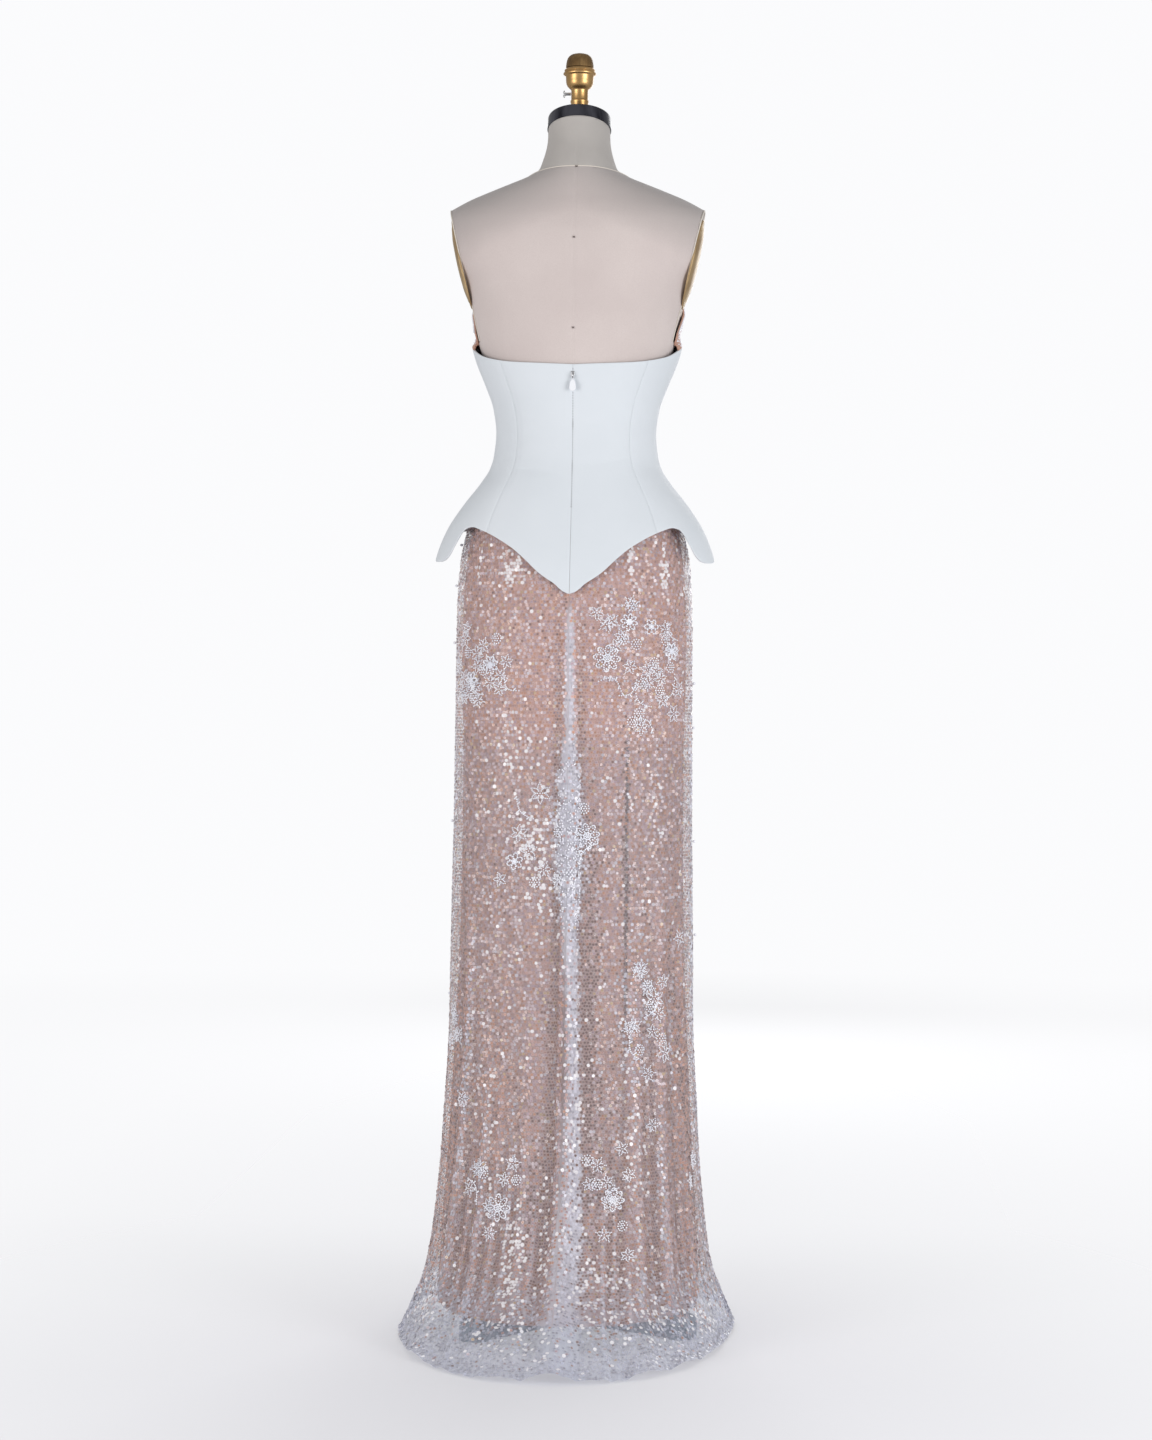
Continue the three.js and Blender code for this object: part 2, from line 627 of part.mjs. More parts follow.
// The domed plate over an armhole, seated on the leaning flat.
function armPlate() {
  const profile = [
    [0, 0],
    [1, 0],
    [1, ARM_PLATE.rim],
    [0.84, ARM_PLATE.rim + ARM_PLATE.dome * 0.5],
    [0.5, ARM_PLATE.rim + ARM_PLATE.dome * 0.88],
    [0, ARM_PLATE.rim + ARM_PLATE.dome],
  ].map(([x, y]) => new THREE.Vector2(x, y));
  const plate = new THREE.LatheGeometry(profile, 24);
  plate.scale(ARM_PLATE.halfDepth, 1, ARM_PLATE.halfHeight);
  return plate;
}

function seatArmPlate(mesh, side) {
  const lean = Math.atan(ARM_PLANE.leanPerMm);
  const flat = ARM_PLANE.side + (ARM_PLATE.z - ARM_PLANE.z) * ARM_PLANE.leanPerMm;
  const outward = new THREE.Vector3(side * Math.cos(lean), 0, -Math.sin(lean));
  const upward = new THREE.Vector3(side * Math.sin(lean), 0, Math.cos(lean));
  const forward = new THREE.Vector3().crossVectors(outward, upward);
  mesh.setRotationFromMatrix(new THREE.Matrix4().makeBasis(forward.negate(), outward, upward.negate()));
  mesh.position.set(side * flat, ARM_PLATE.y, ARM_PLATE.z).addScaledVector(outward, SEAM_GAP + 0.05);
  return mesh;
}

// A turned piece from its radii and heights, standing on +Z.
function turned(profile, segments) {
  const points = profile.map(([radius, height]) => new THREE.Vector2(radius, height));
  return new THREE.LatheGeometry(points, segments).rotateX(Math.PI / 2);
}

function finialBase() {
  const brass = turned(
    [
      [0, FINIAL.brassBottom],
      [13, FINIAL.brassBottom],
      [13, 1770],
      [12.2, 1772.5],
      [12.2, 1786],
      [16.3, 1789.3],
      [19, 1793],
      [20, 1799],
      [20.3, 1805],
      [23.8, 1808],
      [24, 1811],
      [20.4, 1816.7],
      [0, 1816.7],
    ],
    20,
  ).translate(0, FINIAL.y, 0);
  return toGeometry(above(toSolid(brass), CAP_TOP, SEAM_GAP));
}

function finialCap() {
  return turned(
    [
      [0, FINIAL.capBottom],
      [20.2, FINIAL.capBottom],
      [19.6, 1824],
      [17.5, 1832],
      [12.5, 1837],
      [0, 1838.6],
    ],
    20,
  ).translate(0, FINIAL.y, 0);
}

// The wing screw in the finial's neck, lying along -X.
function neckScrew() {
  const wing = new THREE.Shape();
  wing.ellipse(0, 0, SCREW.wingHigh, 2.6, 0, 2 * Math.PI);
  const wings = new THREE.ExtrudeGeometry(wing, { depth: SCREW.wingThick, bevelEnabled: false, curveSegments: 14 });
  const shank = new THREE.CylinderGeometry(SCREW.shank, SCREW.shank, SCREW.reach, 12).rotateX(Math.PI / 2);
  shank.translate(0, 0, -SCREW.reach / 2 + 0.5);
  return toGeometry(toSolid(wings).add(toSolid(shank))).rotateY(-Math.PI / 2);
}

// The heavy base: a hub with a collar for the pole, four flat arms and a foot on each.
function baseGeometry() {
  const hub = turned(
    [
      [0, 0],
      [BASE.hubRadius, 0],
      [BASE.hubRadius, BASE.hubHeight - 4],
      [BASE.hubRadius - 6, BASE.hubHeight],
      [BASE.collarRadius, BASE.hubHeight + 4],
      [BASE.collarRadius - 3, BASE.collarHeight],
      [0, BASE.collarHeight],
    ],
    24,
  );
  let solid = toSolid(hub);
  for (const quarter of [45, 135, 225, 315]) {
    const turn = quarter + BASE.turn;
    const arm = new THREE.BoxGeometry(BASE.reach - 20, BASE.armWide, BASE.armHigh);
    arm.translate((BASE.reach - 20) / 2 + 20, 0, BASE.armHigh / 2).rotateZ(degrees(turn));
    const foot = turned(
      [
        [0, 0],
        [FOOT.radius, 0],
        [FOOT.radius, FOOT.height - 7],
        [FOOT.radius - 5, FOOT.height],
        [0, FOOT.height],
      ],
      16,
    );
    foot.translate(BASE.reach, 0, 0).rotateZ(degrees(turn));
    solid = solid.add(toSolid(arm)).add(toSolid(foot));
  }
  const bore = new THREE.CylinderGeometry(POLE.radius + SEAM_GAP, POLE.radius + SEAM_GAP, 100, 24);
  bore.rotateX(Math.PI / 2).translate(0, 0, POLE.bottom - SEAM_GAP + 50);
  return toGeometry(solid.subtract(toSolid(bore)));
}

// The slider of the concealed zip: a small body with a bail that the pull tab hangs from.
function zipSlider() {
  const body = new THREE.BoxGeometry(ZIP.width, ZIP.depth, ZIP.height);
  body.translate(0, -ZIP.depth / 2, 0);
  const arch = new THREE.Shape();
  const face = -ZIP.depth + 0.2;
  const out = -ZIP.depth - ZIP.bailOut;
  arch.moveTo(face, ZIP.bailReach);
  arch.lineTo(out + 0.8, ZIP.bailReach);
  arch.lineTo(out, ZIP.bailReach - 0.8);
  arch.lineTo(out, -ZIP.bailReach + 0.8);
  arch.lineTo(out + 0.8, -ZIP.bailReach);
  arch.lineTo(face, -ZIP.bailReach);
  arch.lineTo(face, -ZIP.bailReach + ZIP.bailThick);
  arch.lineTo(out + ZIP.bailThick, -ZIP.bailReach + ZIP.bailThick);
  arch.lineTo(out + ZIP.bailThick, ZIP.bailReach - ZIP.bailThick);
  arch.lineTo(face, ZIP.bailReach - ZIP.bailThick);
  const bail = new THREE.ExtrudeGeometry(arch, { depth: ZIP.bailWide, bevelEnabled: false });
  // The shape's x runs along -Y of the slider and its y runs up.
  bail.applyMatrix4(
    new THREE.Matrix4().makeBasis(
      new THREE.Vector3(0, 1, 0),
      new THREE.Vector3(0, 0, 1),
      new THREE.Vector3(1, 0, 0),
    ),
  );
  bail.translate(-ZIP.bailWide / 2, 0, 0);
  return toGeometry(toSolid(body).add(toSolid(bail)));
}

// The teardrop pull tab, hanging down from the hinge at its own origin.
function zipPull() {
  const half = PULL.width / 2;
  const eye = PULL.holeWide / 2 + 0.7;
  const drop = new THREE.Shape();
  drop.moveTo(-eye, PULL.bar);
  drop.lineTo(-eye, -PULL.holeTall - 1);
  drop.bezierCurveTo(-eye, -9, -half, -12, -half, -PULL.length + half);
  drop.absarc(0, -PULL.length + half, half, Math.PI, 2 * Math.PI, false);
  drop.bezierCurveTo(half, -12, eye, -9, eye, -PULL.holeTall - 1);
  drop.lineTo(eye, PULL.bar);
  const hole = new THREE.Path();
  const side = PULL.holeWide / 2;
  hole.moveTo(-side, -PULL.bar);
  hole.lineTo(side, -PULL.bar);
  hole.lineTo(side, -PULL.bar - PULL.holeTall);
  hole.lineTo(-side, -PULL.bar - PULL.holeTall);
  drop.holes.push(hole);
  const tab = new THREE.ExtrudeGeometry(drop, { depth: PULL.thick, bevelEnabled: false, curveSegments: 6 });
  return tab.translate(0, 0, -PULL.thick / 2).rotateX(Math.PI / 2);
}

// Assembly
const gown = new THREE.Group();

function addPiece(name, geometry, colour, roughness = 0.8, metalness = 0) {
  const material = new THREE.MeshStandardMaterial({ color: colour, roughness, metalness });
  const mesh = new THREE.Mesh(geometry, material);
  mesh.name = name;
  gown.add(mesh);
  return mesh;
}

const seamAt = (angle) => () => angle;
const mirror = (seam) => (z) => -seam(z);
addPiece("corset_back_right", corsetPanel(seamAt(0), princess, 5), COLOURS.corset, 0.55);
addPiece("corset_back_left", corsetPanel(mirror(princess), seamAt(0), 5), COLOURS.corset, 0.55);
addPiece("corset_side_back_right", corsetPanel(princess, seamAt(SIDE_SEAM), 6), COLOURS.corset, 0.55);
addPiece("corset_side_back_left", corsetPanel(seamAt(-SIDE_SEAM), mirror(princess), 6), COLOURS.corset, 0.55);
addPiece("corset_side_front_right", corsetPanel(seamAt(SIDE_SEAM), seamAt(FRONT_PRINCESS), 5), COLOURS.corset, 0.55);
addPiece("corset_side_front_left", corsetPanel(seamAt(-FRONT_PRINCESS), seamAt(-SIDE_SEAM), 5), COLOURS.corset, 0.55);
addPiece("corset_front", corsetPanel(seamAt(FRONT_PRINCESS), seamAt(360 - FRONT_PRINCESS), 8), COLOURS.corset, 0.55);
addPiece("cup_right", cupGeometry(1), COLOURS.nude);
addPiece("cup_left", cupGeometry(-1), COLOURS.nude);

for (const [name, angles] of Object.entries(netPanels)) addPiece(name, netPanel(angles), COLOURS.net, 0.5);
addPiece("skirt_lining_back_right", liningPanel(CENTRE_SEAM, SIDE_SEAM - SEAM, 11), COLOURS.nude);
addPiece("skirt_lining_back_left", liningPanel(-SIDE_SEAM + SEAM, -CENTRE_SEAM, 11), COLOURS.nude);
addPiece("skirt_lining_front", liningPanel(SIDE_SEAM + SEAM, 360 - SIDE_SEAM - SEAM, 18), COLOURS.nude);
FLOWERS.forEach((flower, i) => {
  addPiece(`flower_${String(i + 1).padStart(2, "0")}`, flowerGeometry(flower), COLOURS.beads, 0.3);
});

const form = formSolid();
const torso = below(form, NECK_SEAM, 0);
const neck = below(above(form, NECK_SEAM, SEAM_GAP), NECK_TOP, SEAM_GAP);
addPiece("form_torso", toGeometry(torso), COLOURS.linen);
addPiece("form_neck", toGeometry(neck), COLOURS.linen);
seatArmPlate(addPiece("form_arm_plate_right", armPlate(), COLOURS.armPlate), 1);
seatArmPlate(addPiece("form_arm_plate_left", armPlate(), COLOURS.armPlate), -1);

const cap = new THREE.CylinderGeometry(NECK.capRadius, NECK.capRadius, NECK.capHeight, 40);
cap.rotateX(Math.PI / 2).translate(0, 0, NECK.capHeight / 2).rotateX(-degrees(NECK.capLean));
const neckCap = addPiece("neck_cap", cap, COLOURS.steel, 0.35, 1);
neckCap.position.set(0, NECK.capY, NECK.capZ);
addPiece("finial_base", finialBase(), COLOURS.brass, 0.4, 1);
addPiece("finial_cap", finialCap(), COLOURS.bronze, 0.6, 0.6);
const screw = addPiece("neck_screw", neckScrew(), COLOURS.silver, 0.3, 1);
screw.position.set(-12.2 - SCREW.gap - SCREW.reach + 0.5, FINIAL.y, SCREW.z);

const slider = addPiece("zip_slider", zipSlider(), COLOURS.corset, 0.35);
const sliderSeat = bodicePoint(0, ZIP.z);
const sliderLean = Math.atan2(
  bodicePoint(0, ZIP.z - 5).y - bodicePoint(0, ZIP.z + 5).y,
  10,
);
slider.rotation.x = sliderLean;
slider.position.set(0, sliderSeat.y - 0.45, ZIP.z);
const hinge = new THREE.Vector3(0, -ZIP.depth - PULL.out, 0).applyEuler(slider.rotation).add(slider.position);
const pull = addPiece("zip_pull", zipPull(), COLOURS.corset, 0.35);
pull.position.copy(hinge);

const pole = new THREE.CylinderGeometry(POLE.radius, POLE.radius, TORSO_BOTTOM - SEAM_GAP - POLE.bottom, 24);
pole.rotateX(Math.PI / 2).translate(0, 0, (TORSO_BOTTOM - SEAM_GAP + POLE.bottom) / 2);
addPiece("stand_pole", pole, COLOURS.steel, 0.35, 1);
addPiece("stand_base", baseGeometry(), COLOURS.iron, 0.6, 0.4);

export default gown;
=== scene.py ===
# A strapless evening gown on its dress form: white corset with a winged peplum, beaded net skirt with a
# short train over a nude lining. Tables are in millimetres; the wearer's back faces -Y, and an angle round
# the body is in degrees, with 0 at the centre back and 90 on the wearer's right, which is +X.
import json
import math

import bpy
import numpy as np
from mathutils import Matrix, Vector


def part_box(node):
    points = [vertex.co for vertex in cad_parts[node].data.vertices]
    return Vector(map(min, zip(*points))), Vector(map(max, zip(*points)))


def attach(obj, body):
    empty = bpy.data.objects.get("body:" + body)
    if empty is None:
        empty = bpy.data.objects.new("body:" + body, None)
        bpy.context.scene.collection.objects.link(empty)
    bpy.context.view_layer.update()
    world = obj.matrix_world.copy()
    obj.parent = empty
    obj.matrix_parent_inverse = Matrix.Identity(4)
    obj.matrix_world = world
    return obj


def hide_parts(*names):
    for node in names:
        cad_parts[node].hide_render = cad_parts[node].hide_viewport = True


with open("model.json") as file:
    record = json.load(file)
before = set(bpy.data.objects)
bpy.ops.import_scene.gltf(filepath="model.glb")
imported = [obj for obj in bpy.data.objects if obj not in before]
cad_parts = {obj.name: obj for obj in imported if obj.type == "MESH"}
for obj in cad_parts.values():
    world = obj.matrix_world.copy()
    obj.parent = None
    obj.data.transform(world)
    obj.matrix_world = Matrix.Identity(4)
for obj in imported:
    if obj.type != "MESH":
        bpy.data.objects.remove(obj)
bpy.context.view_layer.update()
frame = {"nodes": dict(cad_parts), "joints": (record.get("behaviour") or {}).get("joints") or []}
scene = bpy.context.scene


# Camera, floor and light
# The camera stands 0.87 m up and 4.69 m from the pole, a little to the wearer's right of the centre back,
# and leans by half a degree. The studio is white, with a broad lamp on each side of the camera and one high
# in front.
CAMERA_LENS = 80.8
CAMERA_DISTANCE = 4.69
CAMERA_HEIGHT = 0.87
CAMERA_TURN = math.radians(3.5)
CAMERA_ROLL = math.radians(0.5)
CAMERA_AIM = Vector((0.0032, 0, CAMERA_HEIGHT))

camera = bpy.data.objects.new("camera", bpy.data.cameras.new("camera"))
scene.collection.objects.link(camera)
camera.data.lens = CAMERA_LENS
place = Vector((math.sin(CAMERA_TURN), -math.cos(CAMERA_TURN), 0)) * CAMERA_DISTANCE
place.z = CAMERA_HEIGHT
look = (CAMERA_AIM - place).to_track_quat("-Z", "Y").to_matrix().to_4x4()
camera.matrix_world = Matrix.Translation(place) @ look @ Matrix.Rotation(CAMERA_ROLL, 4, "Z")
scene.camera = camera
scene.view_settings.view_transform = "Standard"


def add_lamp(name, at, towards, size, watts, colour):
    lamp = bpy.data.objects.new(name, bpy.data.lights.new(name, "AREA"))
    lamp.data.size = size
    lamp.data.energy = watts
    lamp.data.color = colour
    lamp.location = at
    lamp.rotation_euler = (Vector(towards) - Vector(at)).to_track_quat("-Z", "Y").to_euler()
    scene.collection.objects.link(lamp)


add_lamp("lamp_left", (-2.9, -2.9, 0.95), (0, 0, 1.0), 2.0, 71, (1.0, 0.99, 0.98))
add_lamp("lamp_right", (3.1, -2.8, 0.95), (0, 0, 1.0), 2.0, 96, (0.98, 0.99, 1.0))
add_lamp("lamp_front", (0.4, 4.2, 2.4), (0, 0, 0.6), 3.0, 85, (1.0, 1.0, 1.0))

# The white studio is brighter to look at than the light that comes back from it.
STUDIO_LIGHT = 0.5
world = bpy.data.worlds.new("studio")
world.use_nodes = True
background = world.node_tree.nodes["Background"]
background.inputs["Color"].default_value = (0.965, 0.967, 0.98, 1)
seen = world.node_tree.nodes.new("ShaderNodeLightPath")
brighter = world.node_tree.nodes.new("ShaderNodeMath")
brighter.operation = "MAXIMUM"
brighter.inputs[1].default_value = STUDIO_LIGHT
world.node_tree.links.new(seen.outputs["Is Camera Ray"], brighter.inputs[0])
world.node_tree.links.new(brighter.outputs[0], background.inputs["Strength"])
scene.world = world


class Value:
    """A socket of a finish. Python's operators on it add Math nodes."""

    def __init__(self, finish, socket):
        self.finish = finish
        self.socket = socket

    def math(self, operation, *values):
        return self.finish.node("ShaderNodeMath", {"operation": operation}, dict(enumerate(values)))

    def __add__(self, other):
        return self.math("ADD", self, other)

    def __sub__(self, other):
        return self.math("SUBTRACT", self, other)

    def __rsub__(self, other):
        return self.math("SUBTRACT", other, self)

    def __mul__(self, other):
        return self.math("MULTIPLY", self, other)

    def __lt__(self, other):
        return self.math("LESS_THAN", self, other)

    __radd__ = __add__
    __rmul__ = __mul__

    def sine(self):
        return self.math("SINE", self)

    def size(self):
        return self.math("ABSOLUTE", self)

    def between(self, low, high):
        """0 at low and 1 at high, and held there beyond them."""
        sockets = {"Value": self, "From Min": low, "From Max": high}
        return self.finish.node("ShaderNodeMapRange", {"clamp": True}, sockets)


class Finish:
    """A procedural material: one Principled shader, and the nodes that feed it."""

    def __init__(self, name, **constants):
        self.material = bpy.data.materials.new(name)
        self.material.use_nodes = True
        self.nodes = self.material.node_tree.nodes
        self.links = self.material.node_tree.links
        self.shader = self.nodes["Principled BSDF"]
        self.paint(**constants)

    def feed(self, node, sockets):
        for key, value in sockets.items():
            if isinstance(value, Value):
                self.links.new(value.socket, node.inputs[key])
            elif isinstance(value, tuple) and node.inputs[key].type == "RGBA":
                node.inputs[key].default_value = (*value, 1)
            else:
                node.inputs[key].default_value = value

    def node(self, kind, settings=None, sockets=None, output=0):
        made = self.nodes.new(kind)
        for key, value in (settings or {}).items():
            setattr(made, key, value)
        self.feed(made, sockets or {})
        return Value(self, made.outputs[output])

    def object_place(self):
        return self.node("ShaderNodeTexCoord", output="Object")

    def axis(self, name):
        vector = self.object_place()
        return self.node("ShaderNodeSeparateXYZ", sockets={"Vector": vector}, output=name)

    def cloth_place(self, name):
        """How far along the cloth a place is, in metres, from the piece's UV map."""
        vector = self.node("ShaderNodeUVMap", {"uv_map": "cloth"})
        return self.node("ShaderNodeSeparateXYZ", sockets={"Vector": vector}, output=name)

    def noise(self, scale, detail=3, vector=None):
        sockets = {"Vector": vector or self.object_place(), "Scale": scale, "Detail": detail}
        return self.node("ShaderNodeTexNoise", sockets=sockets)

    def mix(self, factor, first, second):
        # A Mix node's two colours are its sockets 6 and 7, and the mixed one is its output 2.
        sockets = {"Factor": factor, 6: first, 7: second}
        return self.node("ShaderNodeMix", {"data_type": "RGBA"}, sockets, output=2)

    def patchy(self, scale, detail, first, second, low=0.35, high=0.7):
        """Two colours in soft patches."""
        return self.mix(self.noise(scale, detail).between(low, high), first, second)

    def weave(self, pitch):
        """The waves of a cloth's warp and of its weft, with the threads' pitch in metres."""
        return [(self.cloth_place(name) * (2 * math.pi / pitch)).sine() for name in ("X", "Y")]

    def attribute(self, name, output="Color"):
        return self.node("ShaderNodeAttribute", {"attribute_name": name}, output=output)

    def bump(self, height, strength, distance):
        sockets = {"Height": height, "Strength": strength, "Distance": distance}
        self.feed(self.shader, {"Normal": self.node("ShaderNodeBump", sockets=sockets)})

    def paint(self, **sockets):
        self.feed(self.shader, {key.replace("_", " "): value for key, value in sockets.items()})


FLOOR_SIZE = 14
bpy.ops.object.select_all(action="DESELECT")
bpy.ops.mesh.primitive_plane_add(size=FLOOR_SIZE)
floor = bpy.context.object
floor.name = "floor"
floor_paint = Finish("floor_paint", Roughness=0.9, Specular_IOR_Level=0.1)
floor_place = {0: floor_paint.object_place()}
away = floor_paint.node("ShaderNodeVectorMath", {"operation": "LENGTH"}, floor_place, "Value")
aside = floor_paint.axis("X").size()
# Painted shade: the floor is painted a little darker near the dress and is most solid in front; it fades
# into the white behind it, and most to the sides.
floor_depth = 0.80 - floor_paint.axis("Y").between(-0.5, 0.9) * 0.40
floor_paint.paint(
    Base_Color=floor_paint.mix(away.between(0.2, 2.5), (0.88, 0.88, 0.925), (0.93, 0.93, 0.955)),
    Alpha=floor_depth * (1 - away.between(2.5, 6.6)) * (1 - aside.between(0.25, 1.1) * 0.62),
)
floor.data.materials.append(floor_paint.material)


# The dress form
# A hollow shell covered in unbleached linen, drawn tight, with a corded seam down its centre back, a sloped
# neck, and a piped edge round each armhole.
GIRTH_POWER = 2.25
FORM = {
    "z": [842, 900, 986, 1044, 1093, 1145, 1180, 1215, 1232, 1250, 1285, 1320, 1354, 1389, 1417, 1446, 1470,
            1500, 1535, 1566, 1590, 1604, 1613, 1622, 1633, 1645, 1656, 1667, 1680, 1702, 1730, 1760],
    "side": [156, 158.5, 159, 157.5, 154, 146, 137, 123.5, 117, 113.7, 111.2, 115, 125.5, 134.5, 143.5,
            149.5, 153, 164, 186, 194, 195, 188, 174, 157, 131, 101, 74, 57, 52.5, 49.3, 46.5, 46],
    "back": [117.4, 121.8, 123.2, 117.5, 108.5, 97, 90, 83.5, 81, 80, 80.2, 82, 86.5, 92, 95, 96.5, 97.5,
            98, 97, 93, 85, 78, 73, 68, 63, 58, 54, 50, 46, 42, 38.5, 37],
    "front": [107.4, 108.8, 108.8, 108, 106, 101, 96, 90, 87.5, 86, 85.2, 89, 97, 106, 112.5, 113, 109, 102,
            88, 72, 56, 44, 38, 35, 34, 36, 40, 45, 49, 52, 54.5, 56],
}
BUST = {"angle": 151, "spread": 24, "z": 1436, "tall": 44, "out": 30}
ARM_PLANE = {"side": 150, "z": 1464, "lean": 0.234}
NECK_SEAM_BACK = (-50, 1666)
NECK_SEAM_LEAN = math.radians(12)
NECK_TOP = (9, 1726.1)
NECK_TOP_LEAN = math.radians(18)


def read(table, key, column, at):
    """One column of a table at any key, through a cubic that never overshoots its rows."""
    keys = np.asarray(table[key], float)
    values = np.asarray(table[column], float)
    at = np.clip(at, keys[0], keys[-1])
    slopes = np.diff(values) / np.diff(keys)
    before, after = slopes[:-1], slopes[1:]
    total = np.where(before + after == 0, 1, before + after)
    inner = np.where(before * after <= 0, 0, 2 * before * after / total)
    tangents = np.concatenate([slopes[:1], inner, slopes[-1:]])
    row = np.clip(np.searchsorted(keys, at, side="right") - 1, 0, len(keys) - 2)
    span = keys[row + 1] - keys[row]
    t = (at - keys[row]) / span
    rise = (2 * t**3 - 3 * t**2 + 1) * values[row] + (3 * t**2 - 2 * t**3) * values[row + 1]
    return rise + span * ((t**3 - 2 * t**2 + t) * tangents[row] + (t**3 - t**2) * tangents[row + 1])


def section(side, back, front, angle, z):
    """Points of the horizontal section with these half sizes."""
    turn = np.radians(angle)
    s, c = np.sin(turn), np.cos(turn)
    x = side * np.sign(s) * np.abs(s) ** (2 / GIRTH_POWER)
    y = -np.where(c > 0, back, front) * np.sign(c) * np.abs(c) ** (2 / GIRTH_POWER)
    return np.stack(np.broadcast_arrays(x, y, z), axis=-1)


def table_section(table, angle, z):
    sizes = [read(table, "z", column, z) for column in ("side", "back", "front")]
    return section(*sizes, angle, z)


def fold_round(angle):
    """How far an angle is from the centre back, either way round."""
    return np.abs((np.asarray(angle) + 180) % 360 - 180)


def with_bust(points, angle):
    """The points, with the round mound on each side of the front."""
    across = (fold_round(angle) - BUST["angle"]) / BUST["spread"]
    mirrored = (360 - fold_round(angle) - BUST["angle"]) / BUST["spread"]
    up = (points[..., 2] - BUST["z"]) / BUST["tall"]
    out = BUST["out"] * (np.exp(-(across**2)) + np.exp(-(mirrored**2))) * np.exp(-(up**2))
    moved = points.copy()
    moved[..., 0] += out * np.sin(np.radians(angle)) * 0.5
    moved[..., 1] -= out * np.cos(np.radians(angle))
    return moved


def unit(vectors):
    return vectors / np.maximum(np.linalg.norm(vectors, axis=-1, keepdims=True), 1e-12)


def outward(surface, u, v):
    """The outward normals of a surface, where u goes round the body and v goes up or down it."""
    step = 1e-3
    along_u = surface(u + step, v) - surface(u - step, v)
    along_v = surface(u, v + step) - surface(u, v - step)
    return unit(np.cross(along_v, along_u) * (-1 if along_v[..., 2].mean() > 0 else 1))


def shell(name, points, closed=False):
    """A sheet of faces over a grid of points in millimetres. Its UV map has its own lengths, in metres."""
    across, down = points.shape[:2]
    points = points / 1000
    lengths_u = np.linalg.norm(np.diff(points, axis=0), axis=-1).mean(axis=1)
    lengths_v = np.linalg.norm(np.diff(points, axis=1), axis=-1).mean(axis=0)
    along_u = np.concatenate([[0], np.cumsum(lengths_u)])
    along_v = np.concatenate([[0], np.cumsum(lengths_v)])
    if closed:
        along_u = np.append(along_u, along_u[-1] + np.linalg.norm(points[0] - points[-1], axis=-1).mean())
    i, j = np.meshgrid(np.arange(across if closed else across - 1), np.arange(down - 1), indexing="ij")
    corners = [(i, j), (i, j + 1), (i + 1, j + 1), (i + 1, j)]
    faces = np.stack([(a % across) * down + b for a, b in corners], axis=-1).reshape(-1, 4)
    mesh = bpy.data.meshes.new(name)
    mesh.from_pydata(points.reshape(-1, 3).tolist(), [], faces.tolist())
    flat = np.stack([np.stack([along_u[a], -along_v[b]], axis=-1) for a, b in corners], axis=-2)
    mesh.uv_layers.new(name="cloth").data.foreach_set("uv", flat.reshape(-1).astype(np.float32))
    mesh.polygons.foreach_set("use_smooth", [True] * len(mesh.polygons))
    piece = bpy.data.objects.new(name, mesh)
    scene.collection.objects.link(piece)
    return piece


def declare_cloth(points):
    """Works out a sheet's cut: the greatest width and length of its grid, and its flat area. Nothing uses
    them.
    """
    steps_u = np.linalg.norm(np.diff(points, axis=0), axis=-1) / 1000
    steps_v = np.linalg.norm(np.diff(points, axis=1), axis=-1) / 1000
    width, length = steps_u.sum(axis=0).max(), steps_v.sum(axis=1).max()
    area = (steps_u.sum(axis=0)[:-1] * steps_v.mean(axis=0)).sum()
    area = min(max(area, 0.31 * width * length), width * length)


def finish_piece(piece, finish, body="gown_on_form", replaces=None):
    piece.data.materials.append(finish.material)
    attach(piece, body)
    if replaces:
        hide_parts(replaces)


def select_only(piece):
    bpy.ops.object.select_all(action="DESELECT")
    piece.select_set(True)
    bpy.context.view_layer.objects.active = piece


def apply_modifier(piece, kind, **settings):
    select_only(piece)
    modifier = piece.modifiers.new(kind.lower(), kind)
    for key, value in settings.items():
        setattr(modifier, key, value)
    bpy.ops.object.modifier_apply(modifier=modifier.name)


def cut_flat(piece, at, normal, keep_above):
    """Cuts a piece by a plane and closes it there."""
    select_only(piece)
    bpy.ops.object.mode_set(mode="EDIT")
    bpy.ops.mesh.select_all(action="SELECT")
    sides = {"clear_inner": keep_above, "clear_outer": not keep_above}
    bpy.ops.mesh.bisect(plane_co=at, plane_no=normal, use_fill=True, **sides)
    bpy.ops.object.mode_set(mode="OBJECT")


def form_surface(angle, z):
    points = with_bust(table_section(FORM, angle, z), angle)
    flat = ARM_PLANE["side"] + (points[..., 2] - ARM_PLANE["z"]) * ARM_PLANE["lean"]
    arms = points[..., 2] > ARM_PLANE["z"] - 50
    limit = np.where(arms, flat, 1000)
    points[..., 0] = np.clip(points[..., 0], -limit, limit)
    return points


def form_points(around, heights):
    """The form with a fine groove and cord down its centre back."""
    angle, z = np.meshgrid(around, heights, indexing="ij")
    points = form_surface(angle, z)
    x = points[..., 0]
    cord = 0.7 * np.exp(-((x / 0.8) ** 2)) - 0.9 * np.exp(-((x / 1.6) ** 2))
    points[..., 1] -= np.where(np.abs(angle) < 60, cord, 0)
    return points


seam_columns = [-3, -2, -1.3, -0.7, -0.3, -0.12, 0, 0.12, 0.3, 0.7, 1.3, 2, 3]
around_form = np.concatenate([seam_columns, np.linspace(5, 355, 141)])
form_rows = np.concatenate([np.linspace(1760, 1600, 45), np.linspace(1596, 842, 150)])

LINEN_PITCH = 0.0009
linen = Finish("linen", Roughness=0.86, Sheen_Weight=0.25, Specular_IOR_Level=0.25)
speck = linen.noise(900, 2).between(0.3, 0.75)
warm = linen.patchy(9, 4, (0.59, 0.515, 0.495), (0.65, 0.575, 0.55))
plain = linen.mix(speck * 0.35, warm, (0.48, 0.40, 0.38))
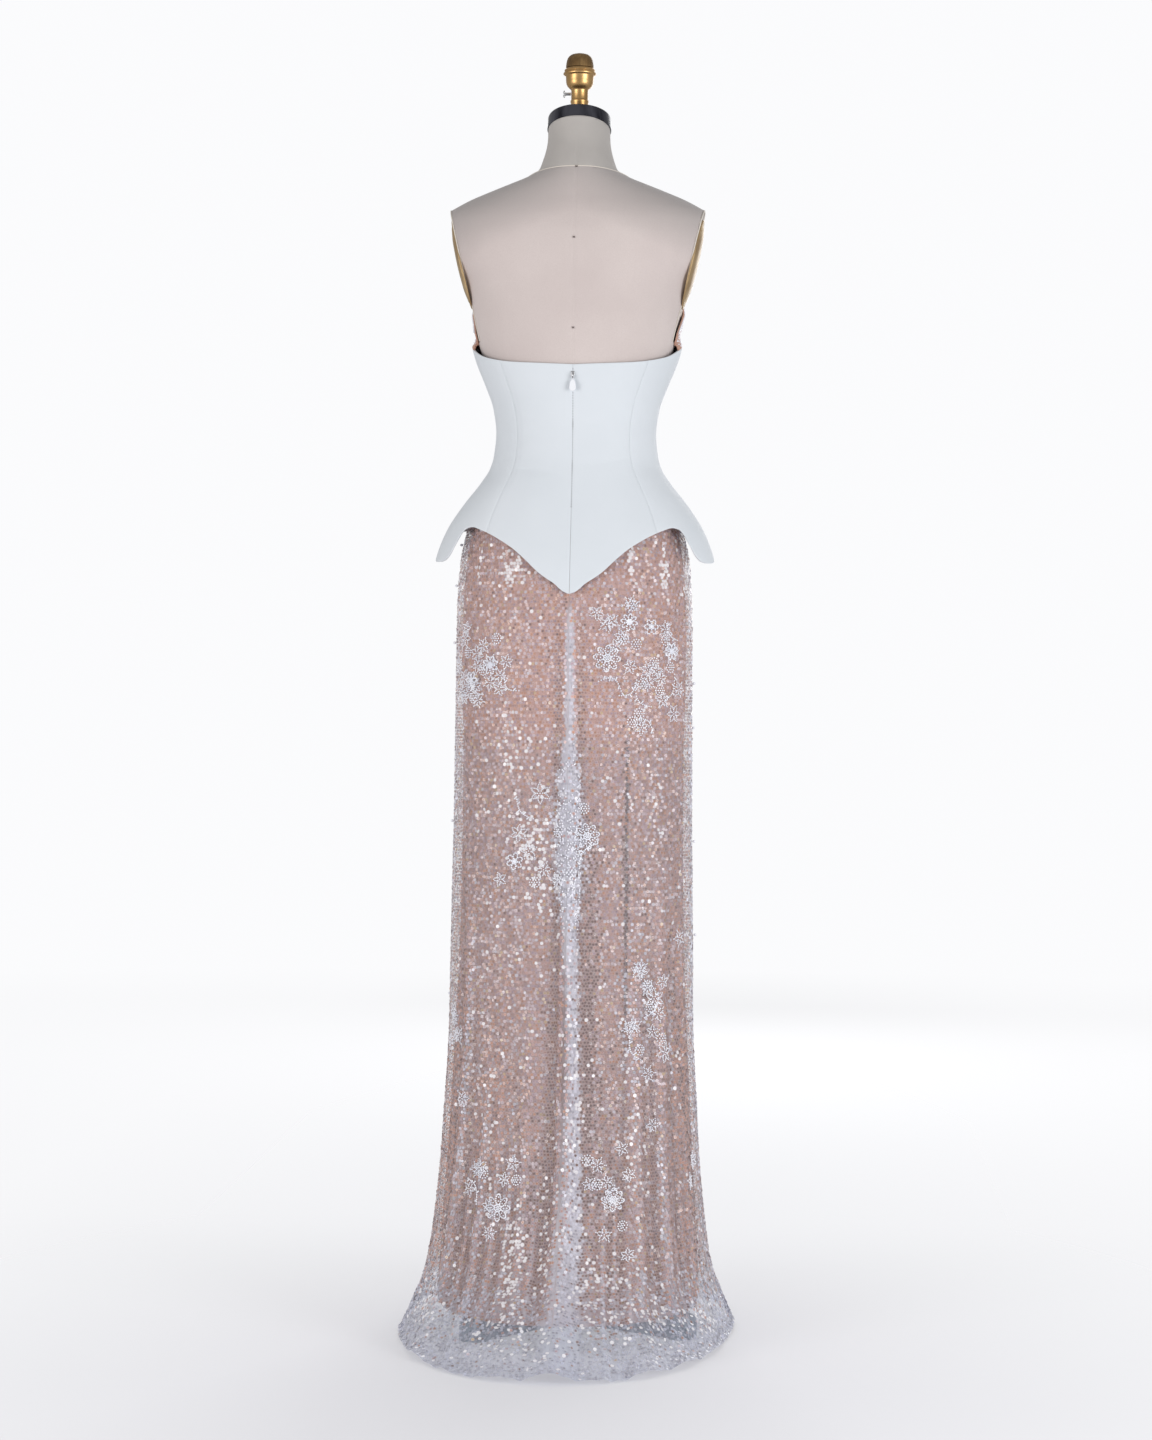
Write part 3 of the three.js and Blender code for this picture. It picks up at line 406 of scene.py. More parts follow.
# Painted shade greys the slopes of the shoulders, most at their top.
shoulder_shade = (linen.axis("Z") + linen.axis("X").size() * 0.46).between(1.60, 1.70)
linen.paint(Base_Color=linen.mix(shoulder_shade * 0.93, plain, (0.33, 0.305, 0.295)))
neck_linen = Finish("neck_linen", Roughness=0.86, Sheen_Weight=0.25, Specular_IOR_Level=0.25)
neck_linen.paint(Base_Color=neck_linen.patchy(9, 4, (0.40, 0.375, 0.355), (0.46, 0.43, 0.405)))
for cover in (linen, neck_linen):
    warp, weft = cover.weave(LINEN_PITCH)
    cover.bump(warp + weft, 0.25, 0.0002)

torso = shell("form_cover", form_points(around_form, form_rows), closed=True)
neck_points = form_points(around_form, form_rows)
# Towards its top the neck's cover is drawn in to the round of the steel ring.
NECK_ROUND = 45.2
DRAWN_FROM, DRAWN_OVER = 1672, 48
ring_turn = np.radians(around_form)[:, None]
ring_y = NECK_TOP[0] - NECK_ROUND * np.cos(ring_turn)
ring_round = np.stack([NECK_ROUND * np.sin(ring_turn), ring_y], axis=-1)
drawn_in = np.clip((form_rows - DRAWN_FROM) / DRAWN_OVER, 0, 1)[None, :, None]
drawn_in = drawn_in**2 * (3 - 2 * drawn_in)
neck_points[..., :2] += (ring_round - neck_points[..., :2]) * drawn_in
neck = shell("form_neck_cover", neck_points, closed=True)
seam_normal = Vector((0, math.sin(NECK_SEAM_LEAN), math.cos(NECK_SEAM_LEAN)))
seam_at = Vector((0, NECK_SEAM_BACK[0], NECK_SEAM_BACK[1])) / 1000
top_normal = Vector((0, math.sin(NECK_TOP_LEAN), math.cos(NECK_TOP_LEAN)))
top_at = Vector((0, NECK_TOP[0], NECK_TOP[1])) / 1000
cut_flat(torso, seam_at, seam_normal, keep_above=False)
cut_flat(neck, seam_at + seam_normal * 0.0003, seam_normal, keep_above=True)
cut_flat(neck, top_at, top_normal, keep_above=False)
select_only(torso)
bpy.ops.object.mode_set(mode="EDIT")
bpy.ops.mesh.select_all(action="DESELECT")
bpy.ops.mesh.select_non_manifold()
bpy.ops.mesh.fill()
bpy.ops.object.mode_set(mode="OBJECT")
finish_piece(torso, linen, replaces="form_torso")
finish_piece(neck, neck_linen, replaces="form_neck")


# The corset
# Seven panels of white crepe, fused to a stiff interlining and turned in at the top edge and the hem. Each
# is sewn to the next along a princess or side seam, and the peplum's wings are cut in one with the side
# panels.
BODICE = {
    "z": [1040, 1093, 1110, 1145, 1180, 1215, 1232, 1250, 1285, 1320, 1354, 1389, 1412, 1440, 1466, 1500,
            1540],
    "side": [208, 204, 200, 186, 164, 136.5, 125.5, 119.5, 116, 120.5, 132.5, 146.5, 152.5, 154.5, 158.5,
            171, 184],
    "back": [132, 123, 119, 110, 101, 92.5, 89, 86.5, 85, 87, 91.5, 97, 99.5, 101, 102, 103, 104],
    "front": [126, 124, 122, 117, 108, 99, 95, 92, 90, 94, 102, 112, 120, 121.5, 118, 108.5, 97],
}
CORSET_TOP = {
    "angle": [0, 35, 62, 82, 95, 115, 140, 160, 180],
    "z": [1376, 1381, 1391, 1405, 1413, 1408, 1392, 1388, 1398],
}
PEPLUM_HEM = {
    "angle": [0, 2, 4.5, 7.5, 10.7, 16, 22, 28, 33.5, 41, 49, 53, 55.5, 57.4, 60, 64, 70, 78, 85, 91, 96,
            101, 106, 112, 122, 132, 142, 152, 161, 170, 180],
    "z": [1048, 1052, 1062, 1070, 1079, 1097, 1113, 1124, 1132, 1140, 1145, 1143, 1134, 1118, 1105, 1098,
            1096, 1097, 1100, 1105, 1113, 1126, 1138, 1145, 1147, 1145, 1136, 1117, 1092, 1067, 1051],
}
PRINCESS_SEAM = {
    "z": [1090, 1145, 1180, 1215, 1285, 1354, 1400],
    "angle": [37, 37.5, 38.5, 40, 41.8, 44.5, 46],
}
SIDE_SEAM = 93
FRONT_PRINCESS = 137
CORSET_WALL = 0.0026
# Soft dents in the crepe: where each lies, its half sizes and its depth. The last column leans it.
CORSET_DENTS = {
    "angle": [20, -24, 44, -41, 60, -66, 30, -30, 78, -80, 120, -126, 168, -160, 8, -9],
    "z": [1238, 1226, 1262, 1270, 1236, 1222, 1180, 1172, 1190, 1186, 1240, 1232, 1230, 1214, 1292, 1150],
    "wide": [16, 14, 10, 12, 12, 15, 9, 8, 8, 9, 16, 14, 18, 16, 12, 7],
    "tall": [7, 6, 8, 7, 9, 8, 40, 44, 34, 36, 8, 9, 8, 9, 6, 30],
    "deep": [0.7, 0.8, 0.6, 0.7, 0.9, 0.8, 1.2, 1.0, 1.5, 1.4, 0.8, 0.9, 0.8, 0.9, 0.4, 0.5],
    "lean": [0.35, -0.3, 0.2, -0.25, 0.4, -0.4, 0.05, -0.05, 0.1, -0.1, 0.3, -0.3, 0.2, -0.3, 0.1, 0.02],
}


def bodice_surface(angle, z):
    return with_bust(table_section(BODICE, angle, z), angle)


def corset_dent(angle, z):
    depth = np.zeros(np.shape(angle))
    for at, up, wide, tall, deep, lean in zip(*CORSET_DENTS.values()):
        across = ((np.asarray(angle) - at + 180) % 360 - 180) / wide
        along = (z - up - lean * across * wide) / tall
        depth += deep * np.exp(-(across**2) - along**2)
    return depth


def corset_panel(from_seam, to_seam, columns=44, rows=72):
    """A panel between two seams: dipped along them, dented, and turned under at its two edges."""
    edge = np.array([0, 0.006, 0.014, 0.028, 0.05])
    u = np.concatenate([edge, np.linspace(0.08, 0.92, columns), 1 - edge[::-1]])
    hems = np.array([0, 0.003, 0.008, 0.016])
    v = np.concatenate([hems, np.linspace(0.028, 0.976, rows), 1 - hems[::-1]])
    u, v = np.meshgrid(u, v, indexing="ij")
    z = np.full(u.shape, 1250.0)
    for _ in range(8):
        angle = from_seam(z) * (1 - u) + to_seam(z) * u
        top = read(CORSET_TOP, "angle", "z", fold_round(angle))
        hem = read(PEPLUM_HEM, "angle", "z", fold_round(angle))
        z = top * (1 - v) + hem * v
    points = bodice_surface(angle, z)
    normal = outward(bodice_surface, angle, z)
    left = np.linalg.norm(points - points[:1], axis=-1)
    right = np.linalg.norm(points - points[-1:], axis=-1)
    down = np.linalg.norm(points - points[:, :1], axis=-1)
    up = np.linalg.norm(points - points[:, -1:], axis=-1)
    sink = 0.5 * np.exp(-((left / 2.4) ** 2)) + 0.5 * np.exp(-((right / 2.4) ** 2))
    sink += 0.2 * np.exp(-(((left - 6) / 2) ** 2)) + 0.2 * np.exp(-(((right - 6) / 2) ** 2))
    sink += 0.5 * np.exp(-((down / 1.2) ** 2)) + 0.5 * np.exp(-((up / 1.2) ** 2))
    sink += corset_dent(angle, z)
    return points - normal * sink[..., None]


def straight(turn):
    """A seam that runs straight up."""
    return lambda z: np.full(np.shape(z), float(turn))


def princess(side, shift):
    """The curved back seam of one side, shifted round by a small angle."""
    return lambda z: side * (read(PRINCESS_SEAM, "z", "angle", z) + shift)


def bevel(piece, width, angle=50):
    """Rounds the edges that turn by more than the angle."""
    limit = math.radians(angle)
    apply_modifier(piece, "BEVEL", width=width, segments=2, limit_method="ANGLE", angle_limit=limit)


def finish_panel(panel, points, wall, edge, finish, solid):
    apply_modifier(panel, "SOLIDIFY", thickness=wall, offset=-1, use_even_offset=True)
    bevel(panel, edge)
    finish_piece(panel, finish, replaces=solid)
    declare_cloth(points)


crepe = Finish("white_crepe", Roughness=0.62, Sheen_Weight=0.12, Specular_IOR_Level=0.3)
crepe_cloud = crepe.patchy(7, 3, (0.64, 0.675, 0.71), (0.685, 0.715, 0.75), 0.3, 0.75)
grain = crepe.noise(1500, 2).between(0.2, 0.8)
crepe.paint(Base_Color=crepe.mix(grain * 0.12, crepe_cloud, (0.62, 0.65, 0.69)))
warp, weft = crepe.weave(0.0007)
crepe.bump(warp * weft + grain * 1.5, 0.22, 0.00015)

# How far a panel's edge stays from its seam, in degrees.
SEAM_TURN = 0.015
CENTRE_TURN = 0.012
corset_panels = {
    "corset_back_right": (straight(CENTRE_TURN), princess(1, -SEAM_TURN)),
    "corset_back_left": (princess(-1, -SEAM_TURN), straight(-CENTRE_TURN)),
    "corset_side_back_right": (princess(1, SEAM_TURN), straight(SIDE_SEAM - SEAM_TURN)),
    "corset_side_back_left": (straight(SEAM_TURN - SIDE_SEAM), princess(-1, SEAM_TURN)),
    "corset_side_front_right": (straight(SIDE_SEAM + SEAM_TURN), straight(FRONT_PRINCESS - SEAM_TURN)),
    "corset_side_front_left": (straight(SEAM_TURN - FRONT_PRINCESS), straight(-SIDE_SEAM - SEAM_TURN)),
    "corset_front": (straight(FRONT_PRINCESS + SEAM_TURN), straight(360 - FRONT_PRINCESS - SEAM_TURN)),
}
for name, (from_seam, to_seam) in corset_panels.items():
    points = corset_panel(from_seam, to_seam)
    finish_panel(shell(name + "_crepe", points), points, CORSET_WALL, 0.0003, crepe, name)


# The bust cups
# Two cups of nude net on a tan crepe, sewn into the corset's top edge, with a row of beads along their own
# edge and small beads strewn over them.
CUP_TOP = {"angle": [80, 92, 106, 125, 148, 166, 180], "z": [1430, 1446, 1472, 1500, 1521, 1506, 1482]}
CUP_SEAT = 0.5
CUP_WALL = 0.0022


def cup_points(angle, v):
    bottom = read(CORSET_TOP, "angle", "z", fold_round(angle)) + CUP_SEAT
    top = read(CUP_TOP, "angle", "z", fold_round(angle))
    z = top * (1 - v) + bottom * v
    points = bodice_surface(angle, z)
    # Under the arms the cup's edge is drawn in towards the body.
    close = form_surface(angle, z) + outward(form_surface, angle, z) * 5.4
    drawn = np.clip((130 - fold_round(angle)) / 24, 0, 1) * np.clip((1 - v) * 2.5, 0, 1)
    return points + (close - points) * drawn[..., None]


tan = Finish("tan_net", Roughness=0.7, Sheen_Weight=0.2)
tan.paint(Base_Color=tan.patchy(30, 3, (0.48, 0.26, 0.19), (0.58, 0.35, 0.26), 0.3))
warp, weft = tan.weave(0.0012)
tan.bump(warp * weft, 0.4, 0.0002)
for name, start, end in (("cup_right", 80, 179.97), ("cup_left", 180.03, 280)):
    u, v = np.meshgrid(np.linspace(start, end, 80), np.linspace(0, 1, 36), indexing="ij")
    points = cup_points(u, v)
    finish_panel(shell(name + "_net", points), points, CUP_WALL, 0.0006, tan, name)


# The lining
# A plain column of nude crepe, close over the hips and free below them, which ends a hand's breadth short
# of the floor in a narrow stitched hem. It shows through the net.
LINING = {
    "z": [38, 70, 116, 203, 319, 435, 551, 638, 740, 842, 900, 986, 1044, 1093, 1145, 1180, 1224],
    "side": [188, 187, 185, 179.5, 173, 167, 162.5, 160.5, 159.5, 159.5, 161.5, 162, 160.5, 157, 149, 140,
            123.5],
    "back": [262, 240, 213, 176, 147, 131, 123.5, 120.5, 119.5, 120.4, 124.8, 126.2, 120.8, 111.8, 100.4,
            93.2, 85],
    "front": [160, 153, 146, 136, 127, 120, 114, 111.5, 110.2, 110.4, 111.8, 111.8, 111.3, 109.3, 104.4,
            99.2, 91.2],
}
# The folds of the lining and the net: where each lies and its half width in degrees, how far it stands out,
# where a minus sign is for in, and the height that it starts from.
FOLD_SPREAD_BELOW = 260
LINING_FOLDS = {
    "angle": [26, 32, -30, -48, 60, 78, -72, -14, 118, 150, -160, -130, -104, 176],
    "half": [3, 4, 8, 6, 8, 7, 9, 7, 10, 12, 12, 10, 9, 12],
    "out": [-3.2, 1.6, -2.4, 2.0, -2.6, 1.5, -2.2, -1.6, -2.4, -2.0, -2.6, 2.0, -2.0, 1.5],
    "start": [850, 830, 700, 560, 640, 480, 600, 420, 700, 640, 720, 560, 480, 600],
}


def lining_surface(angle, z):
    return table_section(LINING, angle, z)


def folded(angle, z, folds, spreads=0.0):
    """How far the listed folds stand out at a place. Near the floor each is wider, by its own share."""
    out = np.zeros(np.shape(angle))
    low = np.clip(1 - z / FOLD_SPREAD_BELOW, 0, 1)
    spreads = np.broadcast_to(spreads, len(folds["angle"]))
    for at, half, rise, start, spread in zip(*folds.values(), spreads):
        width = half * (1 + spread * low)
        away = fold_round(np.asarray(angle) - at)
        share = np.clip((start - z) / start, 0, 1)
        wave = 1 + np.cos(np.pi * away / width)
        out += np.where(away < width, rise * np.sqrt(share) * 0.5 * wave, 0)
    return out


nude = Finish("nude_crepe", Roughness=0.75, Sheen_Weight=0.2)
upper = nude.patchy(6, 4, (0.54, 0.275, 0.185), (0.61, 0.325, 0.225), 0.3)
lower = nude.patchy(6, 4, (0.40, 0.235, 0.185), (0.47, 0.28, 0.22), 0.3)
nude_tone = nude.mix(nude.axis("Z").between(0.82, 0.86), lower, upper)
# Painted shade: a dark line down the right of the back, where the edge of a lap in the lining lies in
# shadow.
LAP_SIDE = 0.0833
lap_away = (nude.axis("X") - LAP_SIDE).size().between(0.0012, 0.0034)
lap_shade_line = (1 - lap_away) * nude.axis("Z").between(0.25, 0.5) * (nude.axis("Z") < 0.842)
nude.paint(Base_Color=nude.mix(lap_shade_line * (nude.axis("Y") < 0), nude_tone, (0.10, 0.07, 0.065)))
warp, weft = nude.weave(0.0008)
nude.bump(warp * weft, 0.25, 0.00015)
LINING_WALL = 0.0008
LINING_HEM_STITCH = 62
skirt_panels = {
    "back_right": (CENTRE_TURN, SIDE_SEAM - SEAM_TURN),
    "back_left": (SEAM_TURN - SIDE_SEAM, -CENTRE_TURN),
    "front": (SIDE_SEAM + SEAM_TURN, 360 - SIDE_SEAM - SEAM_TURN),
}
for panel, (start, end) in skirt_panels.items():
    turns = np.linspace(start, end, 104 if panel == "front" else 66)
    rows = np.concatenate([np.linspace(1224, 46, 114), [43.5, 42.4, 41.2, 38.6]])
    u, v = np.meshgrid(turns, rows, indexing="ij")
    stitches = 0.5 * np.exp(-(((v - LINING_HEM_STITCH) / 1.5) ** 2))
    push = folded(u, v, LINING_FOLDS) - stitches
    points = lining_surface(u, v) + outward(lining_surface, u, v) * push[..., None]
    lining = shell(f"skirt_lining_{panel}_crepe", points)
    apply_modifier(lining, "SOLIDIFY", thickness=LINING_WALL, offset=-1)
    finish_piece(lining, nude, replaces=f"skirt_lining_{panel}")
    declare_cloth(points)


# The net skirt
# Two back panels and a front of fine white net, hung from the corset's waist over the lining. It stands out
# in long folds, doubled along the centre back, and its hem and short train lie on the floor.
NET = {
    "down": list(range(21)),
    "z": [1224, 1180, 1145, 1093, 1044, 986, 900, 842, 740, 638, 551, 435, 319, 230, 160, 110, 72, 42, 20,
            6, 0.4],
    "side": [124.5, 143, 154.2, 164.4, 167.6, 168.8, 169.2, 169.8, 170.4, 172, 173.3, 174.6, 179.5, 184,
            190, 196, 204, 216, 225, 231, 236],
    "back": [86, 94.6, 101.8, 113.2, 122.2, 127.6, 126.2, 123, 122.5, 125, 130, 141, 162, 190, 228, 268,
            313, 362, 406, 443, 470],
    "front": [92.2, 100.6, 105.8, 110.8, 112.8, 113.2, 113.2, 112.8, 113, 116, 121, 131, 144, 156, 169, 182,
            197, 214, 228, 239, 246],
}
NET_WALL = 1.0
NET_FOLDS = {
    "angle": [0.5, -13, -51, -72, 11, 31, 46, 63, 84, 112, 142, 174, -148, -116],
    "half": [4.5, 7, 7, 8, 6, 7, 7, 8, 9, 12, 12, 13, 12, 12],
    "out": [15, 7, 9, 5, 5, 9, 9, 7, 5, 9, 10, 8, 10, 9],
    "start": [1035, 480, 640, 420, 330, 560, 640, 560, 420, 520, 460, 540, 480, 560],
}
NET_FOLD_SPREADS = [0.9] + [0.3] * 13
# Smaller folds and ripples, which show from a step away.
NET_RIPPLES = {
    "angle": [-4.5, -8.5, -20, -27, -35, -42, -60, -66, -80, -88, 5.5, 16, 20.5, 26, 37.5, 52, 57, 70, 76,
            91, 100, 122, 131, 153, 164, -177, -166, -157, -137, -127, -106, -98],
    "half": [2.2, 2.6, 3.4, 2.6, 4, 3, 3.6, 2.8, 4, 3.4, 2.4, 2.8, 2.2, 2.6, 3, 3.2, 2.6, 3.6, 2.8, 4, 5,
            4.4, 5, 4.6, 5.2, 4.4, 5, 4.2, 5, 4.6, 5, 4.2],
    "out": [2.6, 2.0, 3.4, 2.2, 4.0, 2.4, 3.2, 2.0, 3.4, 2.2, 2.2, 3.2, 1.8, 2.4, 3.0, 3.6, 2.0, 3.0, 2.4,
            3.2, 3.4, 3.0, 2.6, 3.2, 2.6, 3.0, 2.4, 3.4, 2.6, 3.0, 2.8, 3.2],
    "start": [240, 420, 300, 520, 360, 260, 440, 300, 360, 240, 260, 300, 420, 240, 460, 320, 540, 300, 420,
            260, 340, 420, 280, 380, 300, 460, 320, 260, 420, 300, 360, 280],
}


def net_base(angle, down):
    sizes = [read(NET, "down", column, down) for column in ("side", "back", "front")]
    return section(*sizes, angle, read(NET, "down", "z", down))


def net_lift(angle, z):
    """How far the net's folds and ripples stand out."""
    return folded(angle, z, NET_FOLDS, NET_FOLD_SPREADS) + folded(angle, z, NET_RIPPLES)


def crest(angle, z, reach):
    """How far the net stands out beyond its places to the left and right."""
    return net_lift(angle, z) - (net_lift(angle - reach, z) + net_lift(angle + reach, z)) / 2


# The double band of net down the centre back: where it lies and its half width, in degrees, at each height.
CENTRE_BAND = {
    "z": [0, 60, 120, 200, 320, 440, 560, 640, 700, 760, 820, 860, 1000, 1040],
    "at": [2.5, 3.0, 3.6, 4.0, 3.6, 2.8, 1.6, 0.8, 0.5, 0.5, 0.5, 0.5, 0.5, 0.5],
    "half": [8, 6.6, 5.2, 3.3, 2.5, 2.2, 2.6, 4.8, 5.6, 5.0, 3.0, 1.7, 1.4, 0.9],
}


def centre_band(angle, z):
    """1 in the middle of the centre back's band of double net, and 0 beside it."""
    ragged = 1 + 0.22 * np.sin(z / 5.3) * np.sin(z / 17 + 1) + 0.12 * np.sin(z / 2.9)
    half = read(CENTRE_BAND, "z", "half", z) * ragged
    away = fold_round(angle - read(CENTRE_BAND, "z", "at", z)) / half
    return np.exp(-(away**4)) * np.clip((1040 - z) / 30, 0, 1)


def net_surface(angle, down):
    base = net_base(angle, down)
    lift = net_lift(angle, base[..., 2]) + NET_WALL
    return base + outward(net_base, angle, down) * lift[..., None]


net = Finish("net", Roughness=0.55, Specular_IOR_Level=0.3)
warp, weft = net.weave(0.0021)
holes = (warp * weft).size()
net_cloud = net.patchy(14, 3, (0.68, 0.70, 0.80), (0.80, 0.81, 0.90), 0.3)
# Near the floor the net looks bluer and darker, and it is denser where it lies double. Along the crests of
# its folds it is made denser and paler, as a painted highlight.
net.paint(
    Base_Color=net.mix(net.axis("Z").between(0.10, 0.0), net_cloud, (0.54, 0.57, 0.70)),
    Alpha=net.attribute("double_and_crest_lit", "Fac") * 0.45 + 0.30 - holes * 0.20,
)
for panel, (start, end) in skirt_panels.items():
    turns = np.linspace(start, end, 200 if panel == "front" else 150)
    u, v = np.meshgrid(turns, np.linspace(0, 19.9, 190), indexing="ij")
    points = net_surface(u, v)
    skirt = shell(f"skirt_net_{panel}_cloth", points)
    z = points[..., 2]
    beside = 0.55 * np.exp(-(((fold_round(u) - 86) / 6) ** 2)) * np.clip((1150 - z) / 60, 0, 1)
    # Painted highlight: near the floor the net is made denser, and so paler, along the crests of its folds.
    crest_highlight = np.clip(crest(u, z, 2) * 0.4, 0, 0.7) * np.clip(1.6 - z / 220, 0, 1)
    hem = 0.55 * np.clip(1 - z / 110, 0, 1)
    doubled_and_crest_lit = np.maximum.reduce([centre_band(u, z) * 0.9, beside, hem, crest_highlight])
    density = skirt.data.attributes.new("double_and_crest_lit", "FLOAT", "POINT")
    density.data.foreach_set("value", doubled_and_crest_lit.reshape(-1).astype(np.float32))
    finish_piece(skirt, net, replaces=f"skirt_net_{panel}")
    declare_cloth(points)


# The sequins
# Cup sequins about 4 mm across, sewn all over the net in close rows with clear and iridescent ones mixed,
# each tilted a little its own way. They lie on the net's outside.
SEQUIN_PITCH = 0.0046
SEQUIN_RADIUS = 0.0025
SEQUIN_TILT = 0.22
# Linear colours, each with the share of the sequins that has it.
SEQUIN_COLOURS = {
    "share": [0.39, 0.21, 0.16, 0.14, 0.035, 0.04, 0.025],
    "colour": [(0.50, 0.31, 0.28), (0.42, 0.31, 0.35), (0.60, 0.49, 0.53), (0.48, 0.25, 0.17),
               (0.25, 0.16, 0.15), (0.66, 0.64, 0.72), (0.58, 0.42, 0.26)],
}
# Painted shade: where the lining or a fold lies in shadow between the sequins, the sequins there are
# painted dark. The half sizes are in degrees and millimetres.
SHADES = {
    "angle": [25.6, 9, -5, 20, -9.5, 36, -57, 54, 57, 60, 63, 66, 14],
    "z": [660, 400, 330, 240, 150, 330, 380, 535, 470, 400, 330, 261, 250],
    "wide": [1.3, 3.3, 1.4, 1.6, 1.6, 1.4, 1.5, 1.2, 1.3, 1.4, 1.4, 1.5, 1.5],
    "tall": [190, 270, 220, 130, 120, 200, 220, 50, 50, 50, 50, 60, 150],
    "share": [0.9, 0.95, 0.3, 0.45, 0.35, 0.35, 0.5, 0.5, 0.65, 0.75, 0.75, 0.6, 0.4],
}
# Where the net stands in a fold or clear of the lining, and looks pale.
PALES = {
    "angle": [-86, 90, -49, 28, 36, 54, 2, -20, 44, -35, 178, 120, -120],
    "z": [800, 640, 340, 450, 470, 430, 250, 200, 200, 260, 500, 400, 400],
    "wide": [12, 11, 1.8, 3.5, 3, 1.3, 3, 2, 2, 2, 3, 4, 4],
    "tall": [330, 620, 190, 90, 70, 90, 160, 120, 130, 160, 400, 300, 300],
    "share": [0.8, 0.9, 0.55, 0.4, 0.3, 0.45, 0.3, 0.3, 0.3, 0.25, 0.4, 0.3, 0.3],
}
# Where the lining's warm tone comes through, at the skirt's sides.
WARMS = {
    "angle": [-65, 64, -30, 100, -100],
    "z": [240, 330, 330, 300, 300],
    "wide": [11, 8, 9, 12, 12],
    "tall": [210, 190, 110, 200, 200],
    "share": [0.8, 0.75, 0.35, 0.3, 0.3],
}
# The colour of the painted shade on the sequins.
PAINTED_SHADE_SEQUIN = (0.16, 0.105, 0.10)
WARM_SEQUIN = (0.52, 0.27, 0.20)
# The colour of the painted glints.
GLINT_WHITE = (0.97, 0.97, 1.0)
PALE_SEQUIN = np.array((0.70, 0.71, 0.82))
# Painted glints: places where many sequins are painted white, as if the lamps caught them all at once.
GLINTS = {
    "angle": [-50, -27, 28.7, 51, -14, -24, -9, 10, -16, -3, 22, 38, -30, 4, 30, -12, 60, -60, 80, -80],
    "z": [1102, 1080, 1092, 1088, 690, 820, 620, 82, 118, 175, 91, 60, 300, 330, 240, 40, 40, 60, 1080,
            1080],
    "wide": [2.4, 6, 2.6, 2.8, 7, 9, 6, 6, 5, 4, 6, 9, 7, 5, 5, 16, 12, 12, 9, 9],
    "tall": [26, 20, 26, 32, 60, 70, 60, 40, 65, 90, 40, 30, 90, 120, 90, 22, 20, 26, 60, 60],
    "share": [0.85, 0.75, 0.75, 0.85, 0.38, 0.12, 0.2, 0.2, 0.42, 0.2, 0.3, 0.25, 0.1, 0.12, 0.12, 0.25,
            0.22, 0.22, 0.3, 0.3],
}


def net_down(z):
    """The row of the net's table that lies at a height."""
    rows = np.linspace(0, 20, 2001)
    return np.interp(-np.asarray(z), -read(NET, "down", "z", rows), rows)


def sew_rows(start, end, pitch):
    """Turns and table rows of stitches, a pitch apart both ways on the cloth, every second row shifted."""
    rows = np.linspace(0, 19.85, 1200)
    middle = net_base(np.full(rows.shape, (start + end) / 2), rows)
    along = np.concatenate([[0], np.cumsum(np.linalg.norm(np.diff(middle, axis=0), axis=-1))])
    downs = np.interp(np.arange(pitch, along[-1] - 1, pitch), along, rows)
    turns = np.linspace(start, end, 260)
    u, v = np.meshgrid(turns, downs)
    lengths = np.linalg.norm(np.diff(net_surface(u, v), axis=1), axis=-1)
    places = []
    for row, (down, steps) in enumerate(zip(downs, lengths)):
        across = np.concatenate([[0], np.cumsum(steps)])
        stops = np.arange(pitch * (0.5 if row % 2 else 1.0), across[-1] - pitch * 0.4, pitch)
        places.append(np.stack([np.interp(stops, across, turns), np.full(stops.shape, down)], axis=-1))
    return np.concatenate(places)


def mesh_piece(name, points, faces, colours=None):
    """A piece of loose parts. Faces are rows of point numbers, and colours are one for each face."""
    mesh = bpy.data.meshes.new(name)
    sides = faces.shape[1]
    mesh.vertices.add(len(points))
    mesh.vertices.foreach_set("co", (points / 1000).astype(np.float32).reshape(-1))
    mesh.loops.add(faces.size)
    mesh.loops.foreach_set("vertex_index", faces.reshape(-1).astype(np.int32))
    mesh.polygons.add(len(faces))
    mesh.polygons.foreach_set("loop_start", np.arange(0, faces.size, sides, dtype=np.int32))
    mesh.update(calc_edges=True)
    if colours is not None:
        paint = mesh.color_attributes.new("tint", "FLOAT_COLOR", "CORNER")
        full = np.concatenate([np.repeat(colours, sides, axis=0), np.ones((faces.size, 1))], axis=1)
        paint.data.foreach_set("color", full.astype(np.float32).reshape(-1))
    piece = bpy.data.objects.new(name, mesh)
    scene.collection.objects.link(piece)
    return piece


sequin = Finish(
    "sequin", Roughness=0.3, Coat_Weight=0.5, Coat_Roughness=0.12, Specular_IOR_Level=0.6, Alpha=0.72
)
across, along = sequin.cloth_place("X"), sequin.cloth_place("Y")
from_eye = across * across + along * along
# Painted highlight: each sequin's face turns pale towards its rim. The eye at its middle is dark.
rim_highlight = sequin.mix(0.4, sequin.attribute("tint"), (0.88, 0.76, 0.77))
sequin_face = sequin.mix(from_eye.between(1.2e-6, 4.6e-6), sequin.attribute("tint"), rim_highlight)
eye = 1 - from_eye.between(0.1e-6, 0.35e-6)
sequin.paint(Base_Color=sequin.mix(eye * 0.35, sequin_face, (0.20, 0.12, 0.11)))
rng = np.random.default_rng(41)


def share_at(table, turn, height):
    """The greatest share that a table's soft patches have at each place."""
    most = np.zeros(np.shape(turn))
    for at, z, wide, tall, share in zip(*table.values()):
        away = fold_round(turn - at) / wide
        most = np.maximum(most, share * np.exp(-(away**2) - ((height - z) / tall) ** 2))
    return most


